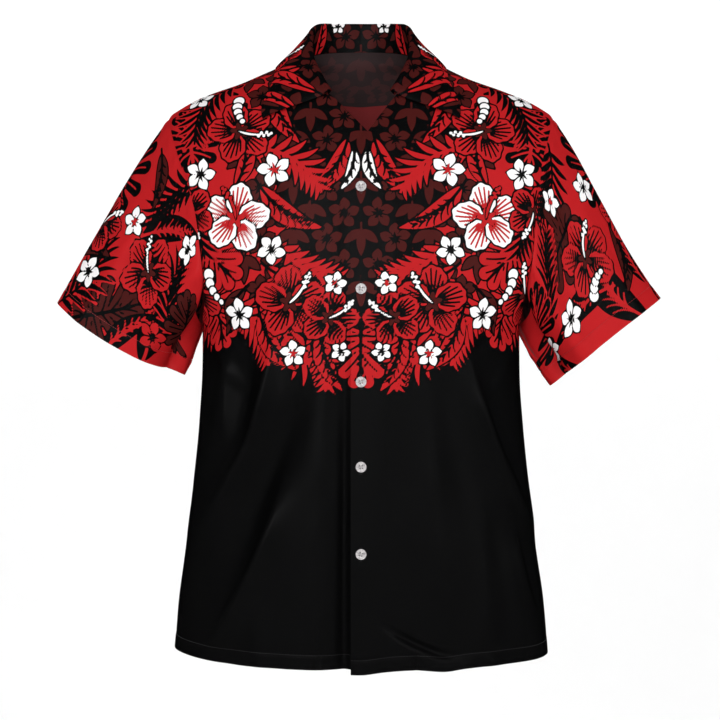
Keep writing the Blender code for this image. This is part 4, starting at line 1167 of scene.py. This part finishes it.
HEMS = [hem_line(points, HEM_DEEP, TURNED_THICK) for points in (LEFT_FRONT, RIGHT_FRONT, BACK)]
CUFF_HEMS = [hem_line(points[::-1], CUFF_DEEP, TURNED_THICK) for points in (LEFT_SLEEVE, RIGHT_SLEEVE)]
stitches("hem_stitches", HEMS, THREAD_BLACK)
stitches("cuff_stitches", CUFF_HEMS, THREAD_RED)


# ============================================================ the buttons
# Five four-hole shirt buttons of pearly resin, turned with a raised rim and sewn through with grey thread,
# each over its upright buttonhole in the left front.
BUTTON_RADIUS = 0.00635
BUTTON_THICK = 0.0026
BUTTON_HOLE_RADIUS = 0.00085
BUTTON_HOLE_OFFSET = 0.0015
BUTTON_HEIGHTS = (-0.1687, -0.2887, -0.3971, -0.4959, -0.5971)
BUTTON_OFF = 0.0010  # the button's back stands this far off the front's middle surface
BUTTON_TURNS = (4, -9, 14, 7, -17)  # degrees, as each was sewn
BUTTONHOLE_LONG = 0.0165
BUTTONHOLE_WIDE = 0.0034
# From the middle of the button's front, out round its rim, and back to the middle of its back, as (share of the
# radius, share of the thickness).
BUTTON_PROFILE = (
    (0.00, 0.60), (0.40, 0.61), (0.62, 0.68), (0.72, 0.84), (0.79, 0.97), (0.86, 1.00), (0.93, 0.95),
    (0.98, 0.80), (1.00, 0.60), (0.985, 0.38), (0.93, 0.18), (0.84, 0.06), (0.70, 0.00), (0.00, 0.00),
)
PEARL_DARK, PEARL_LIGHT = (0.16, 0.15, 0.16, 1.0), (0.66, 0.63, 0.62, 1.0)
PEARL_BAND = (0.50, 0.47, 0.48, 1.0)


def pearl():
    constants = {"Roughness": 0.22, "Specular_IOR_Level": 0.6, "Coat_Weight": 0.5, "Coat_Roughness": 0.08}
    made, start, shader = new_material("pearl", **constants)
    place = start.node("ShaderNodeTexCoord", out=3)
    clouds = place.noise(360.0, 3.0, 0.65)
    bands = place.scaled((1.0, 2.6, 1.0)).noise(420.0, 2.0)
    colour = ((clouds - 0.5) * 3.2 + 0.55).clamped().blend(PEARL_DARK, PEARL_LIGHT)
    feed(((bands - 0.5) * 2.6 + 0.35).clamped().blend(colour, PEARL_BAND), shader, "Base Color")
    feed(0.18 + clouds * 0.16, shader, "Roughness")
    return made


def turned_button(finish):
    """A button that lies flat with its back at z = 0."""
    profile = bpy.data.meshes.new("button_profile")
    edges = [(i, i + 1) for i in range(len(BUTTON_PROFILE) - 1)]
    profile.from_pydata([(BUTTON_RADIUS * r, 0.0, BUTTON_THICK * h) for r, h in BUTTON_PROFILE], edges, [])
    blank = add_object("button_blank", profile)
    turn = blank.modifiers.new("turned", "SCREW")
    turn.steps = turn.render_steps = 48
    turn.use_merge_vertices = True
    turn.merge_threshold = 0.00001
    bm = bmesh.new()
    for x in (-1, 1):
        for y in (-1, 1):
            hole = {"segments": 20, "radius1": BUTTON_HOLE_RADIUS, "radius2": BUTTON_HOLE_RADIUS}
            made = bmesh.ops.create_cone(bm, cap_ends=True, depth=4 * BUTTON_THICK, **hole)
            bmesh.ops.translate(bm, verts=made["verts"], vec=(x * BUTTON_HOLE_OFFSET, y * BUTTON_HOLE_OFFSET, 0.0))
    drill = bpy.data.meshes.new("button_drill")
    bm.to_mesh(drill)
    bm.free()
    drills = add_object("button_drill", drill)
    holes = blank.modifiers.new("holes", "BOOLEAN")
    holes.operation = "DIFFERENCE"
    holes.object = drills
    bpy.context.view_layer.update()
    mesh = bpy.data.meshes.new_from_object(blank.evaluated_get(bpy.context.evaluated_depsgraph_get()))
    bpy.data.objects.remove(blank)
    bpy.data.objects.remove(drills)
    return finished(mesh, finish)


def finished(mesh, finish):
    mesh.materials.clear()
    mesh.materials.append(finish)
    mesh.shade_smooth()
    return mesh


def thread_mesh(name, paths, radius, finish):
    """Rounded lengths of thread along paths of points, as one curve turned into a mesh."""
    curve = bpy.data.curves.new(name, "CURVE")
    curve.dimensions = "3D"
    curve.bevel_depth = radius
    curve.bevel_resolution = 2
    curve.use_fill_caps = True
    for path in paths:
        spline = curve.splines.new("POLY")
        spline.points.add(len(path) - 1)
        for point, at in zip(spline.points, path):
            point.co = (*at, 1.0)
    holder = bpy.data.objects.new(name, curve)
    mesh = bpy.data.meshes.new_from_object(holder)
    bpy.data.objects.remove(holder)
    return finished(mesh, finish)


def button_threads():
    """Two strands from hole to hole on each side, down through the holes to the cloth."""
    over, top = 0.00035, BUTTON_THICK * 0.62
    bridge = (
        (-1.0, -BUTTON_OFF), (-0.96, top), (-0.6, top + over), (0.0, top + 0.00045),
        (0.6, top + over), (0.96, top), (1.0, -BUTTON_OFF),
    )
    paths = []
    for x in (-1, 1):
        for strand in (-0.32, 0.32):
            beside = x * BUTTON_HOLE_OFFSET + strand * BUTTON_HOLE_RADIUS
            paths.append([(beside, y * BUTTON_HOLE_OFFSET, z) for y, z in bridge])
    return paths


def buttonhole_paths():
    """The close zigzag round a buttonhole, a little longer than the button is wide, with a bar at both ends."""
    half, wide = BUTTONHOLE_LONG / 2, BUTTONHOLE_WIDE / 2
    turns = 66
    rows = [-half + 2 * half * i / (turns - 1) for i in range(turns)]
    sides = [[(x * (wide if i % 2 else 0.22 * wide), y, 0.0) for i, y in enumerate(rows)] for x in (-1, 1)]
    bar = (-1, 1, -0.9, 0.9, -0.8, 0.8)
    return sides + [
        [(x * wide, end * (half + 0.0002 * (i % 2)), 0.0001) for i, x in enumerate(bar)] for end in (-1, 1)
    ]


BUTTON = turned_button(pearl())
THREAD_GREY, _, _ = new_material("grey_thread", Base_Color=(0.42, 0.40, 0.40, 1.0), Roughness=0.5)
BUTTON_THREAD = thread_mesh("button_thread", button_threads(), 0.00020, THREAD_GREY)
BUTTONHOLE = thread_mesh("buttonhole", buttonhole_paths(), 0.00013, THREAD_BLACK)
for number, height in enumerate(BUTTON_HEIGHTS, start=1):
    run = RUN_AT(height)
    out = Vector(body_normal(0.0, run))
    fold = float(fold_height(FRONT_FOLDS + FRONT_CREASES, np.array(0.0), np.array(height)))
    at = Vector(body_point(0.0, run)) + out * (LAP_STEP + fold)
    pieces = (
        (f"button_{number}_pearl", BUTTON, BUTTON_OFF, BUTTON_TURNS[number - 1]),
        (f"button_{number}_thread", BUTTON_THREAD, BUTTON_OFF, BUTTON_TURNS[number - 1]),
        (f"buttonhole_{number}", BUTTONHOLE, TURNED_THICK / 2 + 0.00005, 0),
    )
    for name, mesh, off, turn in pieces:
        made = add_object(name, mesh)
        made.location = at + out * off
        made.rotation_mode = "QUATERNION"
        made.rotation_quaternion = out.to_track_quat("Z", "Y") @ Quaternion((0.0, 0.0, 1.0), math.radians(turn))
        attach(made, "root")
        if mesh is BUTTON:
            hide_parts(f"button_{number}")


# ============================================================ the studio
# A pale floor that sweeps up into a backdrop, lit by large soft lamps. The shirt hangs at the height of a
# wearer's shoulders, so the floor is well below it.
FLOOR = -1.46
FLOOR_REACH, WALL_HIGH, SWEEP_RADIUS = 3.4, 3.4, 1.6
PHOTO_MIDDLE = (-0.0012, 0.0, -0.3715)  # what the photograph's middle looks at
CAMERA_AWAY = 2.3


def sweep():
    """A round floor that curves up into a wall all round the shirt."""
    sides, bends = 96, 16
    profile = [(FLOOR_REACH, FLOOR)]
    for i in range(1, bends + 1):
        turn = math.pi / 2 * i / bends
        profile.append((FLOOR_REACH + SWEEP_RADIUS * math.sin(turn), FLOOR + SWEEP_RADIUS * (1 - math.cos(turn))))
    profile.append((FLOOR_REACH + SWEEP_RADIUS, FLOOR + SWEEP_RADIUS + WALL_HIGH))
    verts, faces = [(0.0, 0.0, FLOOR)], []
    turns = [2 * math.pi * k / sides for k in range(sides)]
    for out, z in profile:
        verts += [(out * math.cos(turn), out * math.sin(turn), z) for turn in turns]
    for k in range(sides):
        far = (k + 1) % sides
        faces.append((0, 1 + k, 1 + far))
        for ring in range(len(profile) - 1):
            near = 1 + ring * sides
            faces.append((near + k, near + sides + k, near + sides + far, near + far))
    mesh = bpy.data.meshes.new("studio_floor")
    mesh.from_pydata(verts, [], faces)
    mesh.shade_smooth()
    finish, _, _ = new_material("studio_paper", Base_Color=(0.92, 0.92, 0.92, 1.0), Roughness=0.9)
    mesh.materials.append(finish)
    add_object("studio_floor", mesh)


def lamp(name, at, towards, size, watts):
    light = bpy.data.lights.new(name, "AREA")
    light.shape = "RECTANGLE"
    light.size, light.size_y = size
    light.energy = watts
    made = add_object(name, light)
    made.location = at
    made.rotation_euler = (Vector(towards) - Vector(at)).to_track_quat("-Z", "Y").to_euler()


sweep()
lamp("key_lamp", (-0.55, -2.85, 0.50), (0, 0, -0.35), (1.5, 1.5), 43)
lamp("fill_lamp", (1.5, -2.3, 0.30), (0, 0, -0.35), (1.8, 1.8), 19)
lamp("back_lamp", (-0.4, 3.0, 1.9), (0, 0, -0.35), (1.8, 1.2), 23)
lamp("backdrop_lamp", (0.0, 1.5, 2.4), (0, 4.5, 0.0), (5.0, 1.0), 112)
lamp("front_wall_lamp", (0.0, -1.5, 2.4), (0, -4.5, 0.0), (5.0, 1.0), 36)

bpy.context.scene.view_settings.view_transform = "Standard"
studio_air = bpy.data.worlds.new("studio_air")
studio_air.use_nodes = True
backdrop = studio_air.node_tree.nodes["Background"]
backdrop.inputs["Color"].default_value = (1.0, 1.0, 1.0, 1.0)
backdrop.inputs["Strength"].default_value = 0.12
bpy.context.scene.world = studio_air

lens = bpy.data.cameras.new("photo_camera")
lens.lens = 93.3
lens.sensor_width = 36.0
camera = add_object("photo_camera", lens)
camera.location = (PHOTO_MIDDLE[0], PHOTO_MIDDLE[1] - CAMERA_AWAY, PHOTO_MIDDLE[2])
camera.rotation_euler = (math.radians(90), 0.0, 0.0)
bpy.context.scene.camera = camera
